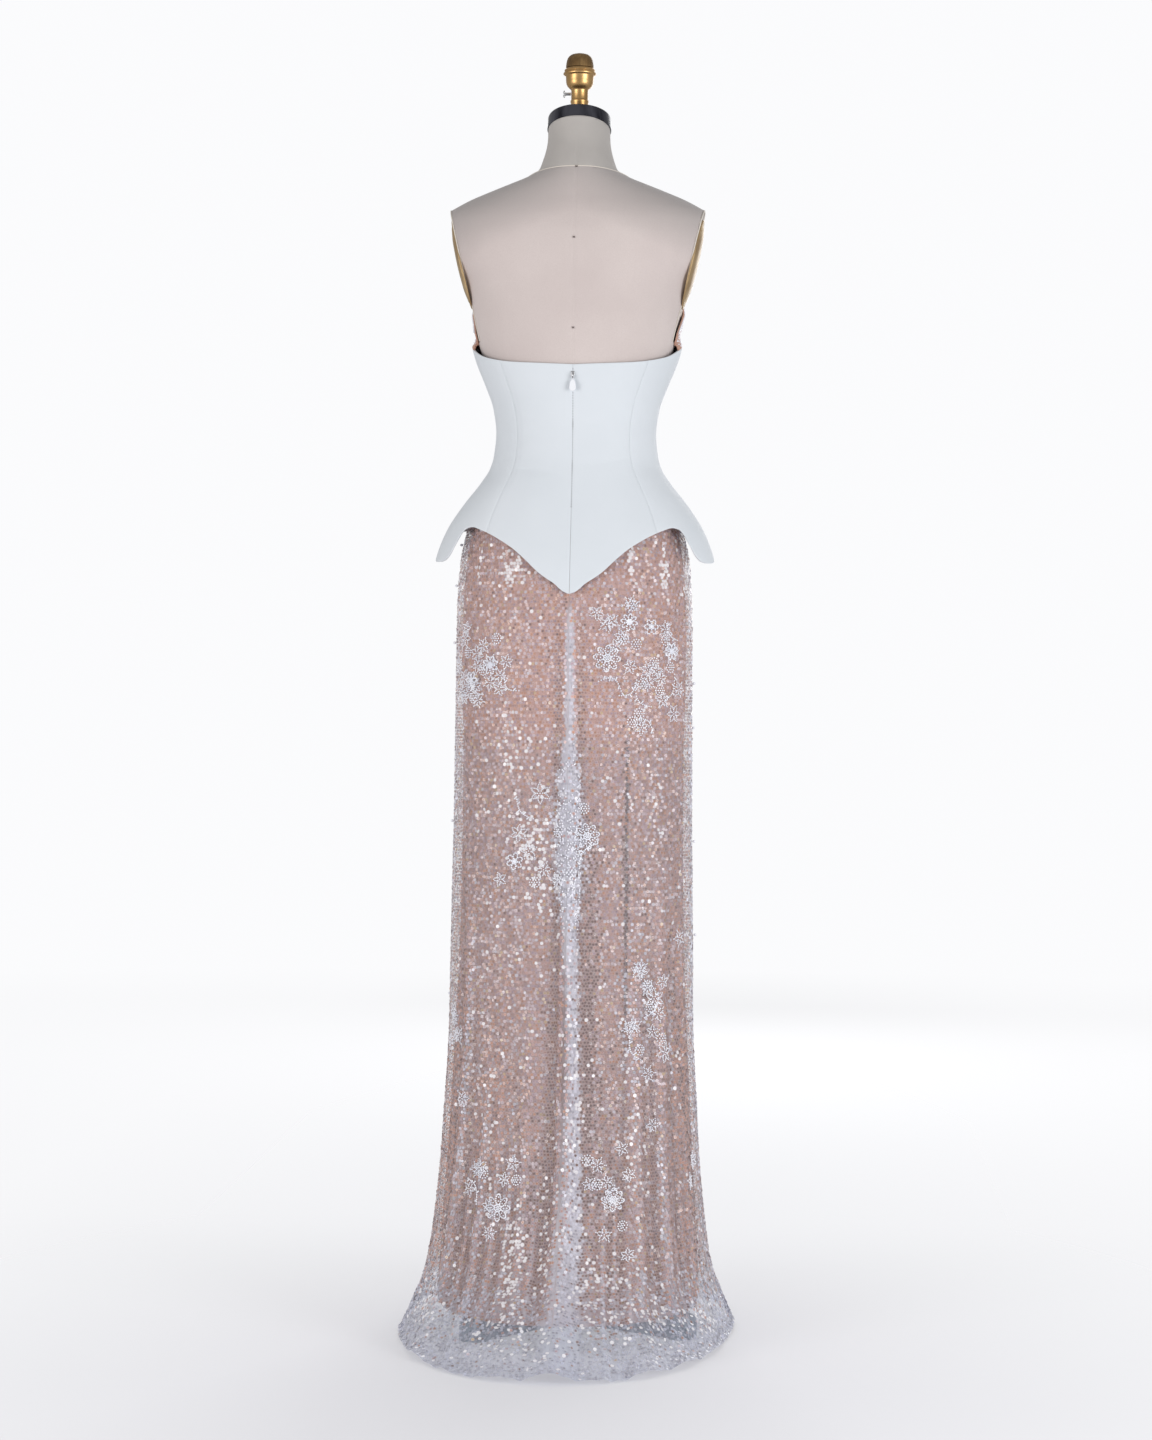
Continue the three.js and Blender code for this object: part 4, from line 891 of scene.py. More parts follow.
for panel, (start, end) in skirt_panels.items():
    places = sew_rows(start, end, SEQUIN_PITCH * 1000)
    count = len(places)
    turn = places[:, 0] + rng.normal(0, 0.12, count)
    down = places[:, 1] + rng.normal(0, 0.004, count)
    turn = np.clip(turn, start + 0.3, end - 0.3)
    centres = net_surface(turn, down)
    normal = outward(net_surface, turn, down)
    height = centres[:, 2]
    # Fewer are sewn near the hem, where the net shows.
    keep = rng.random(count) < np.clip(0.55 + height / 260, 0, 1)
    spin = rng.uniform(0, 2 * math.pi, count)
    tilt = rng.normal(0, SEQUIN_TILT, (count, 2))
    side = unit(np.cross(normal, [0.0, 0.0, 1.0]))
    up = np.cross(side, normal)
    face = unit(normal + side * tilt[:, :1] + up * tilt[:, 1:])
    side = unit(np.cross(up, face))
    up = np.cross(face, side)
    corners = spin[:, None] + np.arange(6) * (math.pi / 3)
    # Painted glints: these sequins are painted white, made larger and raised, in the GLINTS patches and a
    # few anywhere.
    painted_glint = rng.random(count) < share_at(GLINTS, turn, height) + 0.010
    size = SEQUIN_RADIUS * 1000 * rng.uniform(0.85, 1.05, count) * np.where(painted_glint, 1.2, 1)
    ring = np.cos(corners)[..., None] * side[:, None] + np.sin(corners)[..., None] * up[:, None]
    raised = centres + normal * np.where(painted_glint, 1.3, 0.9)[:, None]
    points = raised[:, None] + ring * size[:, None, None]
    flat = np.stack([np.cos(corners), np.sin(corners)], axis=-1) * size[:, None, None] / 1000
    kinds = rng.choice(len(SEQUIN_COLOURS["share"]), count, p=SEQUIN_COLOURS["share"])
    tint = np.array(SEQUIN_COLOURS["colour"])[kinds] * rng.uniform(0.85, 1.15, (count, 1))
    # Painted shade and highlight: they are painted darker down in a fold and lighter on its crest. They are
    # also darker below the hips and the knees.
    tint = tint * (1 + np.clip(crest(turn, height, 3) * 0.2, -0.4, 0.3))[:, None]
    for top, reach, less in ((880, 200, 0.11), (480, 250, 0.14)):
        tint = tint * (1 - less * np.clip((top - height) / reach, 0, 1))[:, None]
    # The lining's warm tone where it comes through, and painted shade where a fold lies in shadow.
    for patches, colour in ((WARMS, WARM_SEQUIN), (SHADES, PAINTED_SHADE_SEQUIN)):
        inside = rng.random(count) < share_at(patches, turn, height)
        tint = np.where(inside[:, None], colour, tint)
    low = np.clip(1.2 - height / 100, 0, 0.96)
    pale = np.maximum.reduce([centre_band(turn, height) * 0.85, low, share_at(PALES, turn, height)])
    pale_tint = PALE_SEQUIN * rng.choice([0.6, 0.78, 0.9, 1.0, 1.15], (count, 1))
    pale_tint *= np.where(fold_round(turn) < 70, 0.95, 1.1)[:, None]
    pale_tint *= 1 - np.clip(1.4 - height / 90, 0, 1)[:, None] * [0.32, 0.29, 0.24]
    tint = np.where((rng.random(count) < pale)[:, None], pale_tint, tint)
    # Painted glints are painted white over any other tint.
    tint = np.where(painted_glint[:, None], GLINT_WHITE, tint)
    order = np.arange(keep.sum() * 6).reshape(-1, 6)
    sequins = mesh_piece(f"skirt_net_{panel}_sequins", points[keep].reshape(-1, 3), order, tint[keep])
    layer = sequins.data.uv_layers.new(name="cloth")
    layer.data.foreach_set("uv", flat[keep].reshape(-1).astype(np.float32))
    finish_piece(sequins, sequin)


# The beadwork
# Daisies and small leaf-petalled stars outlined in seed beads, raspberry clusters and curved sprigs, sewn
# over the sequins in white and clear pearl.
BEAD = 1.35
# The fourteen largest, which stand in the frame as raised flowers.
FLOWERS = {
    "angle": [16, 27, 40, 55, -39, -54, 7.5, -23, -25, 20, -160, 150, -172, 128],
    "z": [958, 1009, 1003, 969, 947, 926, 706, 669, 188, 202, 980, 900, 640, 690],
    "radius": [19, 12, 11, 12, 13, 12, 18, 12, 20, 17, 19, 14, 18, 13],
    "petals": [8, 8, 6, 8, 8, 6, 8, 6, 8, 8, 8, 8, 8, 6],
}
SMALL_STARS = {
    "angle": [15.5, 27.6, 37.7, 43.6, 38, 46.5, 48, 57, 62, 20, 50, 34, -48.7, -62, -39, -32.5, -70, -65,
            -56, -50, -44, -60, 38, 44, 41, 34, 47, 30, -38, -30, 24, 17, 26, 18, 28, 55, 11, 23, -49, -54,
            -39, -29, -33, -61, -48, -61, -11, -21, -16, -9, -3, -31, 33, 42, 28, 48, 38, -68, -59, -36,
            -42, -23, -28, -19, 13, 10, 16, 27, 73, 66, -50, 40, 62, 140, 118, 160, -130, -112, -150, 175,
            102, -98, -66, -70, -63],
    "z": [1005, 946, 942, 941, 924, 930, 899, 880, 915, 975, 1000, 860, 946, 928, 951, 932, 947, 909, 909,
            917, 975, 1000, 492, 455, 430, 520, 500, 440, 236, 190, 270, 225, 130, 1009, 1035, 969, 1021,
            989, 964, 926, 922, 952, 913, 986, 897, 900, 766, 709, 684, 658, 643, 643, 516, 476, 435, 400,
            371, 452, 418, 239, 209, 226, 155, 248, 248, 223, 157, 234, 243, 216, 330, 300, 560, 860, 800,
            420, 900, 640, 380, 210, 300, 240, 440, 410, 418],
    "radius": [9, 8, 9, 8, 9, 8, 9, 10, 9, 8, 9, 8, 9, 10, 9, 9, 10, 9, 8, 8, 9, 8, 9, 9, 8, 9, 8, 9, 9, 8,
            8, 9, 8, 9, 9, 11, 8, 8, 10, 10, 9, 8, 8, 10, 9, 8, 11, 10, 10, 9, 9, 8, 10, 11, 9, 11, 9, 10,
            9, 10, 9, 8, 9, 9, 9, 8, 9, 8, 10, 9, 8, 8, 9, 10, 9, 10, 10, 9, 10, 9, 9, 9, 9, 8, 8],
}
CLUSTERS = {
    "angle": [28.7, 32.8, 29, 54, 50, 31, 42, 46, 35, 24, -58, -52, -44, -35, 6, -13, -3, 1, 40, 38, 33, 46,
            9, 13, 24, -34, -17, 130, -140, 168],
    "z": [1032, 880, 868, 946, 985, 978, 952, 913, 922, 985, 965, 900, 940, 985, 745, 640, 712, 655, 465,
            495, 405, 420, 255, 222, 168, 232, 226, 780, 720, 520],
}
# Curved sprigs of beads: where one starts, how far it reaches across and up, and how much it bows.
SPRIGS = {
    "angle": [12, 22, 40, -44, -30, 30, 50, 4, -14, 36, 34, -36, 16, 60, 146, -156, 122],
    "z": [925, 905, 890, 905, 930, 870, 900, 660, 730, 450, 390, 190, 190, 985, 830, 860, 640],
    "across": [34, 26, -24, -26, 22, 30, 18, 28, -26, 22, -18, -24, 22, -20, 26, -28, 24],
    "up": [-14, 20, 26, 24, -20, -16, 30, 34, 30, 34, 32, 34, 30, 26, 30, 30, 28],
    "bow": [12, -8, 9, 8, -9, 10, -7, 9, 8, -9, 8, -9, 8, 8, 9, -9, 8],
}
phi = (1 + math.sqrt(5)) / 2
BALL_POINTS = np.array([
    (-1, phi, 0), (1, phi, 0), (-1, -phi, 0), (1, -phi, 0), (0, -1, phi), (0, 1, phi), (0, -1, -phi),
    (0, 1, -phi), (phi, 0, -1), (phi, 0, 1), (-phi, 0, -1), (-phi, 0, 1),
])
BALL_POINTS /= math.hypot(1, phi)
BALL_FACES = np.array([
    (0, 11, 5), (0, 5, 1), (0, 1, 7), (0, 7, 10), (0, 10, 11), (1, 5, 9), (5, 11, 4), (11, 10, 2),
    (10, 7, 6), (7, 1, 8), (3, 9, 4), (3, 4, 2), (3, 2, 6), (3, 6, 8), (3, 8, 9), (4, 9, 5), (2, 4, 11),
    (6, 2, 10), (8, 6, 7), (9, 8, 1),
])


def lifted(surface, u, v, lift):
    """Places at a height over a surface."""
    return surface(u, v) + outward(surface, u, v) * np.broadcast_to(lift, np.shape(u))[..., None]


def on_net(angle, z, offsets, lift):
    """Places on the net, given by how far they lie across and up from one place, in millimetres."""
    offsets = np.asarray(offsets, float)
    down = net_down(z)
    across = np.linalg.norm(net_surface(angle + 0.5, down) - net_surface(angle - 0.5, down))
    down_step = np.linalg.norm(net_surface(angle, down + 0.05) - net_surface(angle, down - 0.05)) * 10
    return lifted(net_surface, angle + offsets[:, 0] / across, down - offsets[:, 1] / down_step, lift)


def beads(name, centres, radii, replaces=None):
    """A piece of round beads."""
    radii = np.broadcast_to(radii, len(centres))
    points = centres[:, None] + BALL_POINTS * radii[:, None, None]
    faces = BALL_FACES + 12 * np.arange(len(centres))[:, None, None]
    piece = mesh_piece(name, points.reshape(-1, 3), faces.reshape(-1, 3))
    piece.data.polygons.foreach_set("use_smooth", [True] * len(piece.data.polygons))
    finish_piece(piece, pearl, replaces=replaces)


def bead_at(way, out, wide=0.0):
    """A bead's place in a motif: so far out along one of its ways, and so far to that way's side."""
    return (out * math.cos(way) - wide * math.sin(way), out * math.sin(way) + wide * math.cos(way))


def daisy(radius, petals, turn):
    """Bead places of a daisy: a loop round each petal, a stroke inside it, and a ring at the centre."""
    places = []
    for number in range(petals):
        way = turn + 2 * math.pi * number / petals
        half = radius * min(0.26, 1.6 / petals)
        for step in np.linspace(0, 2 * math.pi, max(8, int(radius * 0.75)), endpoint=False):
            out = radius * (0.62 - 0.38 * math.cos(step))
            places.append(bead_at(way, out, half * math.sin(step)))
        if radius > 15:
            places += [bead_at(way, radius * share) for share in (0.5, 0.78)]
    places += [bead_at(step, radius * 0.13) for step in np.linspace(0, 2 * math.pi, 6, endpoint=False)]
    return np.array(places + [(0, 0)])


def star(radius, petals, turn):
    """Bead places of a star: a narrow leaf of beads on each of its rays."""
    places = [(0, 0)]
    for number in range(petals):
        way = turn + 2 * math.pi * number / petals
        for out in np.arange(3.2, radius + 1, 2.3):
            half = radius * 0.21 * math.sin(math.pi * min(1, out / radius))
            places += [bead_at(way, out, wide) for wide in ((-half, half) if half > 1.4 else (0,))]
    return np.array(places)


def cluster():
    """Bead places of a round cluster: two rings round a middle bead."""
    places = [(0, 0)]
    for ring, count in ((3.6, 6), (7.2, 12)):
        places += [bead_at(step, ring) for step in np.linspace(0, 2 * math.pi, count, endpoint=False)]
    return np.array(places)


def sprig(across, up, bow):
    """Bead places of a bowed stem with short leaves on either side."""
    length = math.hypot(across, up)
    along = np.linspace(0, 1, int(length / 2.5))
    arch = bow * np.sin(along * math.pi) / length
    stem = np.stack([along * across - arch * up, along * up + arch * across], axis=-1)
    knots = stem[2::3]
    side = np.where(np.arange(len(knots)) % 2, 4.0, -4.0)[:, None]
    leaves = knots + side * [up / length, -across / length]
    return np.concatenate([stem, leaves, knots * 0.5 + leaves * 0.5])


pearl = Finish("pearl_bead", Roughness=0.22, Coat_Weight=0.7, Coat_Roughness=0.08, Specular_IOR_Level=0.7)
pearl.paint(Base_Color=pearl.patchy(60, 2, (0.78, 0.79, 0.87), (0.95, 0.95, 1.0), 0.3))
for number, (angle, z, radius, petals) in enumerate(zip(*FLOWERS.values()), start=1):
    name = f"flower_{number:02d}"
    places = on_net(angle, z, daisy(radius, petals, number * 0.7), 2.0)
    beads(name + "_beads", places, BEAD, replaces=name)
stars = []
for number, (angle, z, radius) in enumerate(zip(*SMALL_STARS.values())):
    motif = star(radius * 1.35, 6 if number % 3 else 5, number * 0.9)
    stars.append(on_net(angle, z, motif, 1.8))
beads("small_stars", np.concatenate(stars), BEAD * 0.86)
# A cluster stands highest in its middle.
domed = 2.9 - 0.022 * (cluster() ** 2).sum(axis=1)
clusters = [on_net(angle, z, cluster(), domed) for angle, z in zip(*CLUSTERS.values())]
beads("bead_clusters", np.concatenate(clusters), BEAD)
sprigs = [on_net(angle, z, sprig(*reach), 1.8) for angle, z, *reach in zip(*SPRIGS.values())]
beads("bead_sprigs", np.concatenate(sprigs), BEAD)
# Seed beads sewn close together where the band down the centre back is widest.
SEEDS = 330
seed_heights = np.clip(rng.normal(690, 62, SEEDS), 560, 850)
seed_reach = read(CENTRE_BAND, "z", "half", seed_heights)
seed_turns = read(CENTRE_BAND, "z", "at", seed_heights) + rng.uniform(-0.85, 0.85, SEEDS) * seed_reach
beads("band_beads", lifted(net_surface, seed_turns, net_down(seed_heights), 1.7), BEAD)
# Beads that hang clear of the cloth, at the sides and the back.
HANGING = {
    "angle": [-88, -84, 86, -90, 88, 84, -80, 92, -95, 150, -140],
    "z": [1063, 1121, 924, 722, 696, 860, 980, 560, 470, 830, 720],
}
hanging = [on_net(angle, z, [(0, 0)], 4.2) for angle, z in zip(*HANGING.values())]
beads("hanging_beads", np.concatenate(hanging), 2.4)
# A row along the cups' edge, and smaller ones strewn over them.
EDGE_BEADS = 170
STREWN_BEADS = 420
strewn_rows = rng.uniform(0.08, 0.92, STREWN_BEADS)
strewn_turns = rng.uniform(84, 276, STREWN_BEADS)
cup_turns = np.concatenate([np.linspace(81.5, 278.5, EDGE_BEADS), strewn_turns])
cup_rows = np.concatenate([np.full(EDGE_BEADS, 0.03), strewn_rows])
cup_radii = np.repeat([1.5, 1.1], [EDGE_BEADS, STREWN_BEADS])
beads("cup_beads", lifted(cup_points, cup_turns, cup_rows, 0.7), cup_radii)


# The zip
# A concealed zip down the centre back: the fine line of its teeth, a nickel slider, and a white enamelled
# tab that hangs from the slider's bail.
ZIP_TOP = 1372
ZIP_FOOT = 1172
zip_line = Finish("zip_teeth", Roughness=0.6)
zip_pitch = (zip_line.axis("Z") * (2 * math.pi / 0.0016)).sine()
zip_line.paint(Base_Color=zip_line.mix(zip_pitch.between(-1, 1), (0.34, 0.35, 0.38), (0.48, 0.49, 0.52)))
heights = np.linspace(ZIP_TOP, ZIP_FOOT, 180)
teeth_turns, teeth_heights = np.meshgrid([-0.45, -0.2, 0, 0.2, 0.45], heights, indexing="ij")
teeth_wave = 0.12 * np.sin(teeth_heights * 2 * math.pi / 1.6)
teeth_depth = 0.8 - 0.4 * np.cos(teeth_turns / 0.45 * math.pi / 2) - teeth_wave
teeth_points = lifted(bodice_surface, teeth_turns, teeth_heights, -teeth_depth)
finish_piece(shell("zip_teeth", teeth_points), zip_line)

hinge = Vector(frame["joints"][0]["pos_m"])
slider_low, slider_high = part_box("zip_slider")


def shade(piece, angle=35):
    select_only(piece)
    bpy.ops.object.shade_smooth_by_angle(angle=math.radians(angle))


def join(pieces):
    """Makes the pieces one, under the first one's name."""
    bpy.ops.object.select_all(action="DESELECT")
    for piece in pieces:
        piece.select_set(True)
    bpy.context.view_layer.objects.active = pieces[0]
    bpy.ops.object.join()
    return pieces[0]


def place_mesh(piece):
    """Puts the piece's place, turn and size into its mesh."""
    select_only(piece)
    bpy.ops.object.transform_apply(location=True, rotation=True, scale=True)


def torus(radius, thickness, at, turn, scale, segments=32):
    """A ring with its place in its mesh. Its turn, in degrees, is round one axis only."""
    bpy.ops.object.select_all(action="DESELECT")
    bpy.ops.mesh.primitive_torus_add(
        major_segments=segments, minor_segments=10, major_radius=radius, minor_radius=thickness,
        location=at, rotation=[math.radians(angle) for angle in turn],
    )
    ring = bpy.context.object
    ring.scale = scale
    place_mesh(ring)
    return ring


nickel = Finish("nickel", Metallic=1.0, Roughness=0.28)
nickel.paint(Base_Color=nickel.mix(nickel.noise(90, 3), (0.46, 0.46, 0.47), (0.60, 0.60, 0.61)))
bpy.ops.object.select_all(action="DESELECT")
slider_middle = (slider_low + slider_high) / 2
bpy.ops.mesh.primitive_cube_add(size=1, location=(0, slider_high.y - 0.0012, slider_middle.z))
slider = bpy.context.object
slider.name = "zip_slider_body"
slider.scale = (0.0048, 0.0021, 0.0108)
place_mesh(slider)
bpy.ops.object.mode_set(mode="EDIT")
bpy.ops.mesh.select_all(action="SELECT")
bpy.ops.mesh.subdivide(number_cuts=3)
bpy.ops.object.mode_set(mode="OBJECT")
for vertex in slider.data.vertices:
    # The body narrows towards its foot, as a slider's shoulders do.
    vertex.co.x *= 1 - 0.30 * max(0, (slider_middle.z - vertex.co.z) / 0.0054)
bevel(slider, 0.0005)
bail = torus(0.0036, 0.00048, (0, slider_low.y + 0.0030, hinge.z), (0, 90, 0), (1, 0.72, 1))
bail_front = min(vertex.co.y for vertex in bail.data.vertices)
for vertex in bail.data.vertices:
    vertex.co.y += slider_low.y - bail_front
slider = join([slider, bail])
shade(slider)
finish_piece(slider, nickel, replaces="zip_slider")

enamel = Finish("white_enamel", Roughness=0.25, Coat_Weight=0.5, Coat_Roughness=0.1)
enamel.paint(Base_Color=enamel.patchy(300, 3, (0.80, 0.81, 0.84), (0.62, 0.62, 0.64), 0.62, 0.72))
pull_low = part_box("zip_pull")[0]
PULL_HALF = 0.00475
bpy.ops.object.select_all(action="DESELECT")
drop_centre = Vector((0, hinge.y, pull_low.z + PULL_HALF))
bpy.ops.mesh.primitive_circle_add(
    vertices=40, radius=PULL_HALF - 0.0003, location=drop_centre, rotation=(math.radians(90), 0, 0)
)
pull = bpy.context.object
pull.name = "zip_pull_drop"
place_mesh(pull)
for vertex in pull.data.vertices:
    # Above its round foot the drop narrows to the eye.
    up = vertex.co.z - drop_centre.z
    if up > 0:
        reach = up / PULL_HALF
        vertex.co.z = drop_centre.z + up * 2.75
        vertex.co.x *= 1 + 0.55 * reach
        vertex.co.x = max(-PULL_HALF, min(PULL_HALF, vertex.co.x))
        vertex.co.x *= 1 - 0.32 * reach
bpy.ops.object.mode_set(mode="EDIT")
bpy.ops.mesh.select_all(action="SELECT")
bpy.ops.mesh.edge_face_add()
bpy.ops.mesh.inset(thickness=0.0007, depth=0)
bpy.ops.object.mode_set(mode="OBJECT")
apply_modifier(pull, "SOLIDIFY", thickness=0.0011, offset=0)
bevel(pull, 0.0004, 60)
ring_at = (0, hinge.y, hinge.z - 0.0030)
pull = join([pull, torus(0.0021, 0.00055, ring_at, (90, 0, 0), (0.85, 1, 1.45), 36)])
shade(pull)
finish_piece(pull, enamel, body="zip_pull_tab", replaces="zip_pull")


# The armhole plates
# A shallow domed oval of old gold over each armhole of the form, with a rolled rim, and a cord of cream
# piping round the edge of the linen.
gold = Finish("old_gold", Metallic=0.55, Roughness=0.42)
gold.paint(Base_Color=gold.patchy(35, 5, (0.33, 0.22, 0.11), (0.50, 0.36, 0.19)))
gold.bump(gold.noise(220, 3), 0.15, 0.0003)
ARM_PLATE = {"half_height": 0.066, "half_depth": 0.045, "rim": 0.0025, "y": -0.006, "z": 1.530}
lean = math.atan(ARM_PLANE["lean"])
flat_at = (ARM_PLANE["side"] + (ARM_PLATE["z"] * 1000 - ARM_PLANE["z"]) * ARM_PLANE["lean"]) / 1000
bpy.ops.object.select_all(action="DESELECT")
bpy.ops.mesh.primitive_circle_add(vertices=96, radius=1, fill_type="NGON")
plate = bpy.context.object
plate.name = "arm_plate_right_dome"
bpy.ops.object.mode_set(mode="EDIT")
bpy.ops.mesh.select_all(action="SELECT")
bpy.ops.mesh.extrude_region_move(TRANSFORM_OT_translate={"value": (0, 0, ARM_PLATE["rim"])})
for inset, rise in ((0.03, 0.0004), (0.035, -0.0010), (0.10, 0.0028), (0.22, 0.0024), (0.26, 0.0011)):
    bpy.ops.mesh.inset(thickness=inset)
    bpy.ops.transform.translate(value=(0, 0, rise))
bpy.ops.object.mode_set(mode="OBJECT")
plate.scale = (ARM_PLATE["half_depth"], ARM_PLATE["half_height"], 1)
place_mesh(plate)
bevel(plate, 0.0006, 55)
shade(plate)
facing = Matrix((
    (0, math.sin(lean), math.cos(lean)),
    (1, 0, 0),
    (0, math.cos(lean), -math.sin(lean)),
)).to_4x4()
outward_way = Vector((math.cos(lean), 0, -math.sin(lean)))
seat = Vector((flat_at, ARM_PLATE["y"], ARM_PLATE["z"])) + outward_way * 0.0004
plate.data.transform(Matrix.Translation(seat) @ facing)
plate_left = plate.copy()
plate_left.data = plate.data.copy()
plate_left.name = "arm_plate_left_dome"
scene.collection.objects.link(plate_left)
plate_left.data.transform(Matrix.Scale(-1, 4, Vector((1, 0, 0))))
plate_left.data.flip_normals()
finish_piece(plate, gold, replaces="form_arm_plate_right")
finish_piece(plate_left, gold, replaces="form_arm_plate_left")


def cord_along(name, points, radius, closed=False):
    """A round cord through points in millimetres, turned into a mesh."""
    curve = bpy.data.curves.new(name, "CURVE")
    curve.dimensions = "3D"
    spline = curve.splines.new("POLY")
    spline.points.add(len(points) - 1)
    for point, place in zip(spline.points, points):
        point.co = (*(place / 1000), 1)
    spline.use_cyclic_u = closed
    curve.bevel_depth = radius / 1000
    curve.bevel_resolution = 3
    piece = bpy.data.objects.new(name, curve)
    scene.collection.objects.link(piece)
    select_only(piece)
    bpy.ops.object.convert(target="MESH")
    return piece


cream = Finish("cream_piping", Roughness=0.8, Sheen_Weight=0.2)
cream_twist = ((cream.axis("X") + cream.axis("Z")) * (2 * math.pi / 0.0016)).sine()
cream.paint(Base_Color=cream.mix(cream_twist.between(-1, 1), (0.60, 0.54, 0.48), (0.70, 0.65, 0.58)))
arm_heights = np.concatenate([np.linspace(1416, 1560, 30), np.linspace(1564, 1606, 16)])
arm_flat = ARM_PLANE["side"] + (arm_heights - ARM_PLANE["z"]) * ARM_PLANE["lean"]
arm_share = np.clip(arm_flat / read(FORM, "z", "side", arm_heights), 0, 1)
arm_turn = np.degrees(np.arcsin(arm_share ** (GIRTH_POWER / 2)))
for side, word in ((1, "right"), (-1, "left")):
    back_edge = form_surface(side * arm_turn, arm_heights)
    front_edge = form_surface(side * (180 - arm_turn), arm_heights)
    loop = np.concatenate([back_edge, front_edge[::-1]])
    loop[:, 0] += side * 0.3
    finish_piece(cord_along(f"arm_piping_{word}", loop, 1.0), cream)
# The neck's piping lies where the form meets the leaning plane of its neck seam.
turns = np.linspace(0, 360, 120, endpoint=False)
seam_heights = np.full(turns.shape, 1660.0)
for _ in range(12):
    seam_y = form_surface(turns, seam_heights)[:, 1]
    seam_heights = NECK_SEAM_BACK[1] - (seam_y - NECK_SEAM_BACK[0]) * math.tan(NECK_SEAM_LEAN)
neck_cord = cord_along("neck_piping", form_surface(turns, seam_heights), 0.8, closed=True)
finish_piece(neck_cord, cream)
# Small dark thread marks down the form's centre back.
thread = Finish("dark_thread", Roughness=0.7)
thread.paint(Base_Color=thread.mix(thread.noise(900, 2), (0.06, 0.045, 0.04), (0.14, 0.10, 0.09)))
marks = []
for z in (1665, 1557, 1428):
    middle = form_surface(np.array([0.0]), np.array([float(z)]))[0]
    for reach, rise in ((1.5, 1.1), (1.5, -1.1)):
        ends = [middle + np.array([t * reach, -1.0 + 0.35 * abs(t), t * rise]) for t in (-1, 0, 1)]
        marks.append(cord_along("form_mark", np.array(ends), 0.42))
marks = join(marks)
marks.name = "form_marks"
finish_piece(marks, thread)


# The neck ring and the finial
# A brushed steel cap on the form's neck, tilted with it, and on it the turned brass holder with its dark
# bronze cap and a nickel wing screw.
def turned(name, profile, at, segments=72):
    """A turned piece: a circle drawn up through a profile of radii and heights in millimetres."""
    bpy.ops.object.select_all(action="DESELECT")
    radius, height = profile[0]
    bpy.ops.mesh.primitive_circle_add(
        vertices=segments, radius=radius / 1000, location=(at[0], at[1], height / 1000), fill_type="NGON"
    )
    piece = bpy.context.object
    piece.name = name
    bpy.ops.object.mode_set(mode="EDIT")
    bpy.ops.mesh.select_all(action="SELECT")
    for next_radius, next_height in profile[1:]:
        rise = (next_height - height) / 1000
        bpy.ops.mesh.extrude_region_move(TRANSFORM_OT_translate={"value": (0, 0, rise)})
        factor = next_radius / radius
        centre = (at[0], at[1], next_height / 1000)
        bpy.ops.transform.resize(value=(factor, factor, 1), center_override=centre)
        radius, height = next_radius, next_height
    bpy.ops.mesh.select_all(action="SELECT")
    bpy.ops.mesh.normals_make_consistent(inside=False)
    bpy.ops.object.mode_set(mode="OBJECT")
    place_mesh(piece)
    return piece


def streaked(finish, scale_round, scale_up):
    """Streaks round a turned piece, from a noise stretched along one way."""
    sockets = {0: finish.object_place(), 1: (scale_round, scale_round, scale_up)}
    stretched = finish.node("ShaderNodeVectorMath", {"operation": "MULTIPLY"}, sockets)
    return finish.noise(1.0, 4, stretched)


steel = Finish("brushed_steel", Metallic=1.0, Roughness=0.34)
steel_streaks = streaked(steel, 70, 900)
# Painted reflections: broad light and dark bands run up and down the ring and change round it.
steel_reflection_bands = streaked(steel, 40, 1.2).between(0.42, 0.62)
steel_with_reflections = steel.mix(steel_reflection_bands, (0.016, 0.016, 0.023), (0.11, 0.11, 0.13))
steel.paint(Base_Color=steel.mix(steel_streaks * 0.3, steel_with_reflections, (0.06, 0.06, 0.075)))
steel.bump(steel_streaks, 0.12, 0.0002)
CAP_RADIUS = 46.5
CAP_HEIGHT = 20.5
cap = turned("neck_ring", [
    (CAP_RADIUS - 0.8, 0.4), (CAP_RADIUS, 1.0), (CAP_RADIUS, 2.4), (CAP_RADIUS - 0.5, 3.0),
    (CAP_RADIUS - 0.5, CAP_HEIGHT - 2.6), (CAP_RADIUS - 1.2, CAP_HEIGHT - 0.9),
    (CAP_RADIUS - 3.0, CAP_HEIGHT - 0.3), (20, CAP_HEIGHT - 0.1), (3, CAP_HEIGHT - 0.1),
], (0, 0))
cap.data.transform(Matrix.Translation(top_at) @ Matrix.Rotation(-NECK_TOP_LEAN, 4, "X"))
shade(cap, 30)
finish_piece(cap, steel, replaces="neck_cap")

FINIAL_Y = 0.009
brass = Finish("old_brass", Metallic=1.0, Roughness=0.36)
brass_streaks = streaked(brass, 240, 12)
brass_tone = brass.patchy(45, 5, (0.44, 0.26, 0.10), (0.70, 0.46, 0.21))
brass.paint(Base_Color=brass.mix(brass_streaks * 0.5, brass_tone, (0.30, 0.17, 0.06)))
brass.bump(brass.noise(260, 3), 0.12, 0.0003)
holder = turned("finial_holder", [
    (13, 1733), (13.2, 1740), (12.6, 1741), (12.6, 1766.5), (13.2, 1767.5), (13.2, 1770), (12.4, 1770.8),
    (12.2, 1772.5), (12.2, 1784.6), (12.8, 1786), (15.4, 1788.2), (17.6, 1790.6), (19.2, 1793.8),
    (19.9, 1798), (20.1, 1804.4), (20.8, 1806.2), (23.2, 1807.4), (23.9, 1808.6), (23.7, 1810),
    (22.0, 1810.9), (21.6, 1812.2), (22.4, 1813.3), (22.2, 1814.6), (20.8, 1815.5), (20.2, 1816.6),
], (0, FINIAL_Y))
cap_plane_at = top_at + top_normal * (CAP_HEIGHT / 1000 + 0.0003)
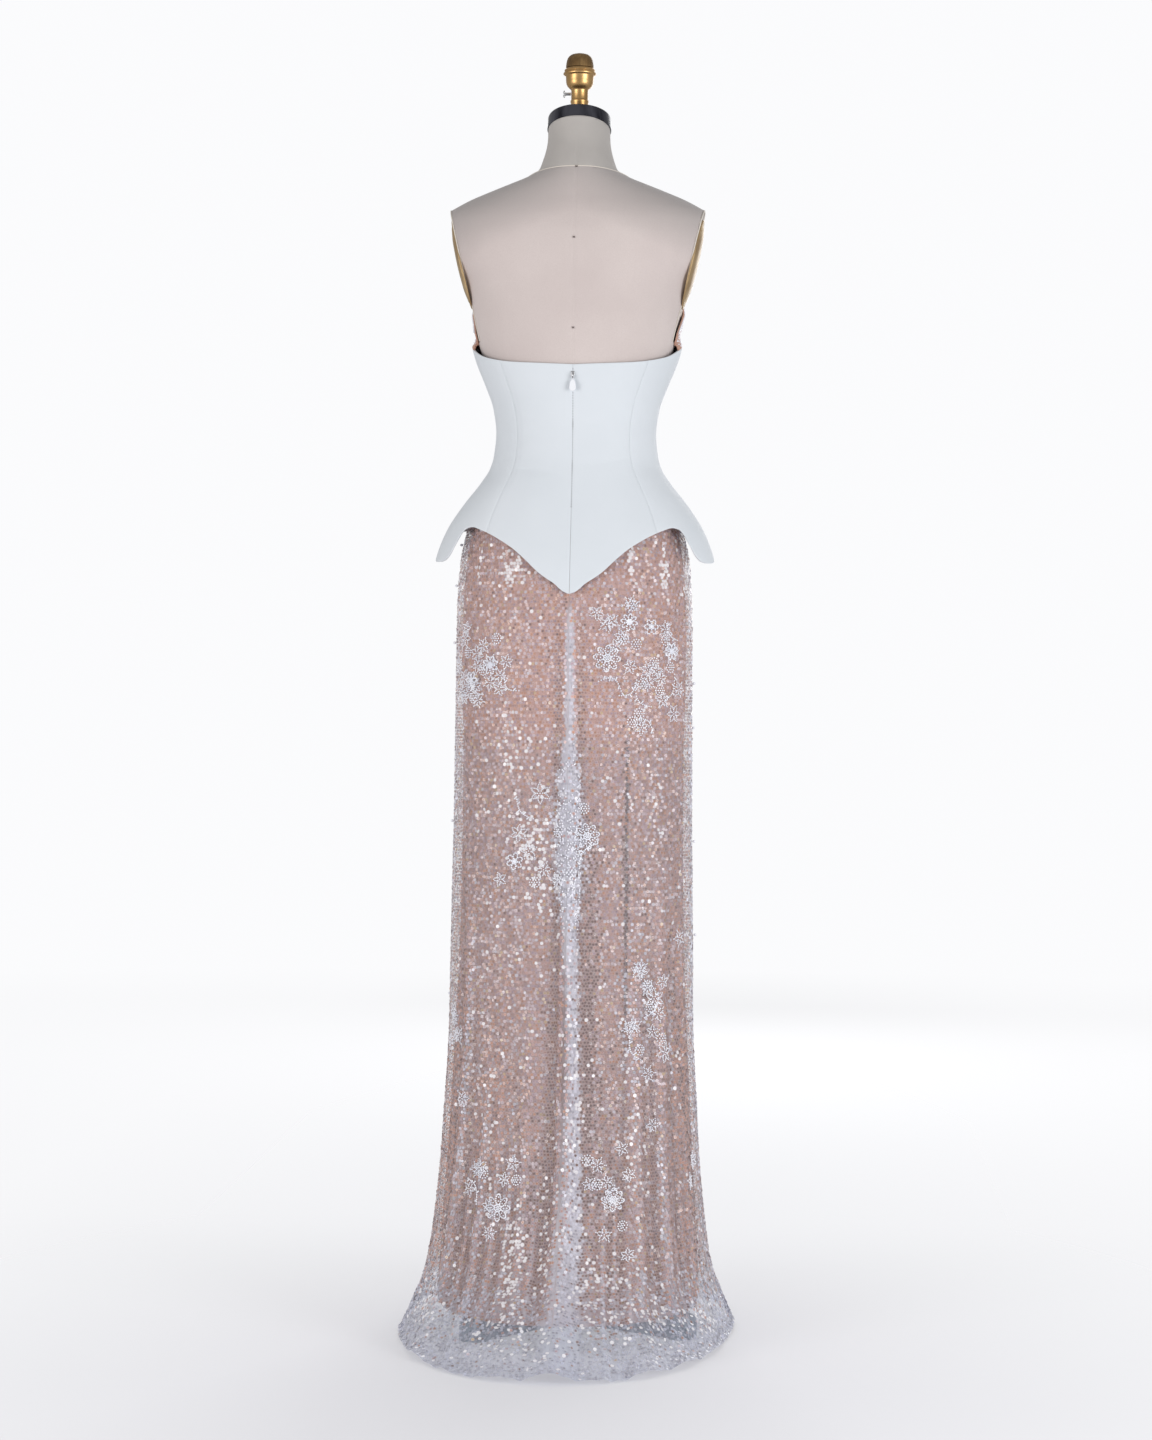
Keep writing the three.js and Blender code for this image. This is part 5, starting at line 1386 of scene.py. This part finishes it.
cut_flat(holder, cap_plane_at, top_normal, keep_above=True)
shade(holder, 40)
finish_piece(holder, brass, replaces="finial_base")
bronze = Finish("dark_bronze", Metallic=0.85, Roughness=0.46)
bronze_ribs = streaked(bronze, 420, 6).between(0.3, 0.7)
bronze_tone = bronze.patchy(60, 4, (0.18, 0.105, 0.042), (0.38, 0.235, 0.10))
bronze.paint(Base_Color=bronze.mix(bronze_ribs * 0.5, bronze_tone, (0.09, 0.055, 0.025)))
bronze.bump(bronze_ribs, 0.3, 0.0004)
dome = turned("finial_dome", [
    (19.0, 1817.0), (20.2, 1817.8), (20.1, 1820), (19.7, 1824), (18.8, 1828.4), (17.4, 1832),
    (15.2, 1834.8), (12.2, 1836.8), (8.0, 1838.0), (3.0, 1838.5),
], (0, FINIAL_Y))
shade(dome, 40)
finish_piece(dome, bronze, replaces="finial_cap")

screw_low, screw_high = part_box("neck_screw")
screw_middle = (screw_low + screw_high) / 2
bpy.ops.object.select_all(action="DESELECT")
bpy.ops.mesh.primitive_cylinder_add(
    vertices=24, radius=0.0022, depth=screw_high.x - screw_low.x - 0.001,
    location=(screw_middle.x + 0.0005, screw_middle.y, screw_middle.z), rotation=(0, math.radians(90), 0),
)
screw = bpy.context.object
screw.name = "wing_screw"
place_mesh(screw)
bevel(screw, 0.0004)
parts = [screw]
for up in (0.0026, -0.0026):
    wing_at = (screw_low.x + 0.0016, screw_middle.y, screw_middle.z + up)
    parts.append(torus(0.0018, 0.0008, wing_at, (90, 0, 0), (0.6, 1, 1), 28))
screw = join(parts)
shade(screw)
finish_piece(screw, nickel, replaces="neck_screw")


# The stand
# A painted iron pole up into the form and a heavy four-legged base with round feet, all under the skirt.
iron = Finish("painted_iron", Roughness=0.5, Metallic=0.2)
iron.paint(Base_Color=iron.patchy(18, 5, (0.09, 0.13, 0.145), (0.15, 0.20, 0.215)))
iron.bump(iron.noise(160, 4), 0.2, 0.0006)
for name in ("stand_pole", "stand_base"):
    for material_slot in frame["nodes"][name].material_slots:
        material_slot.material = iron.material
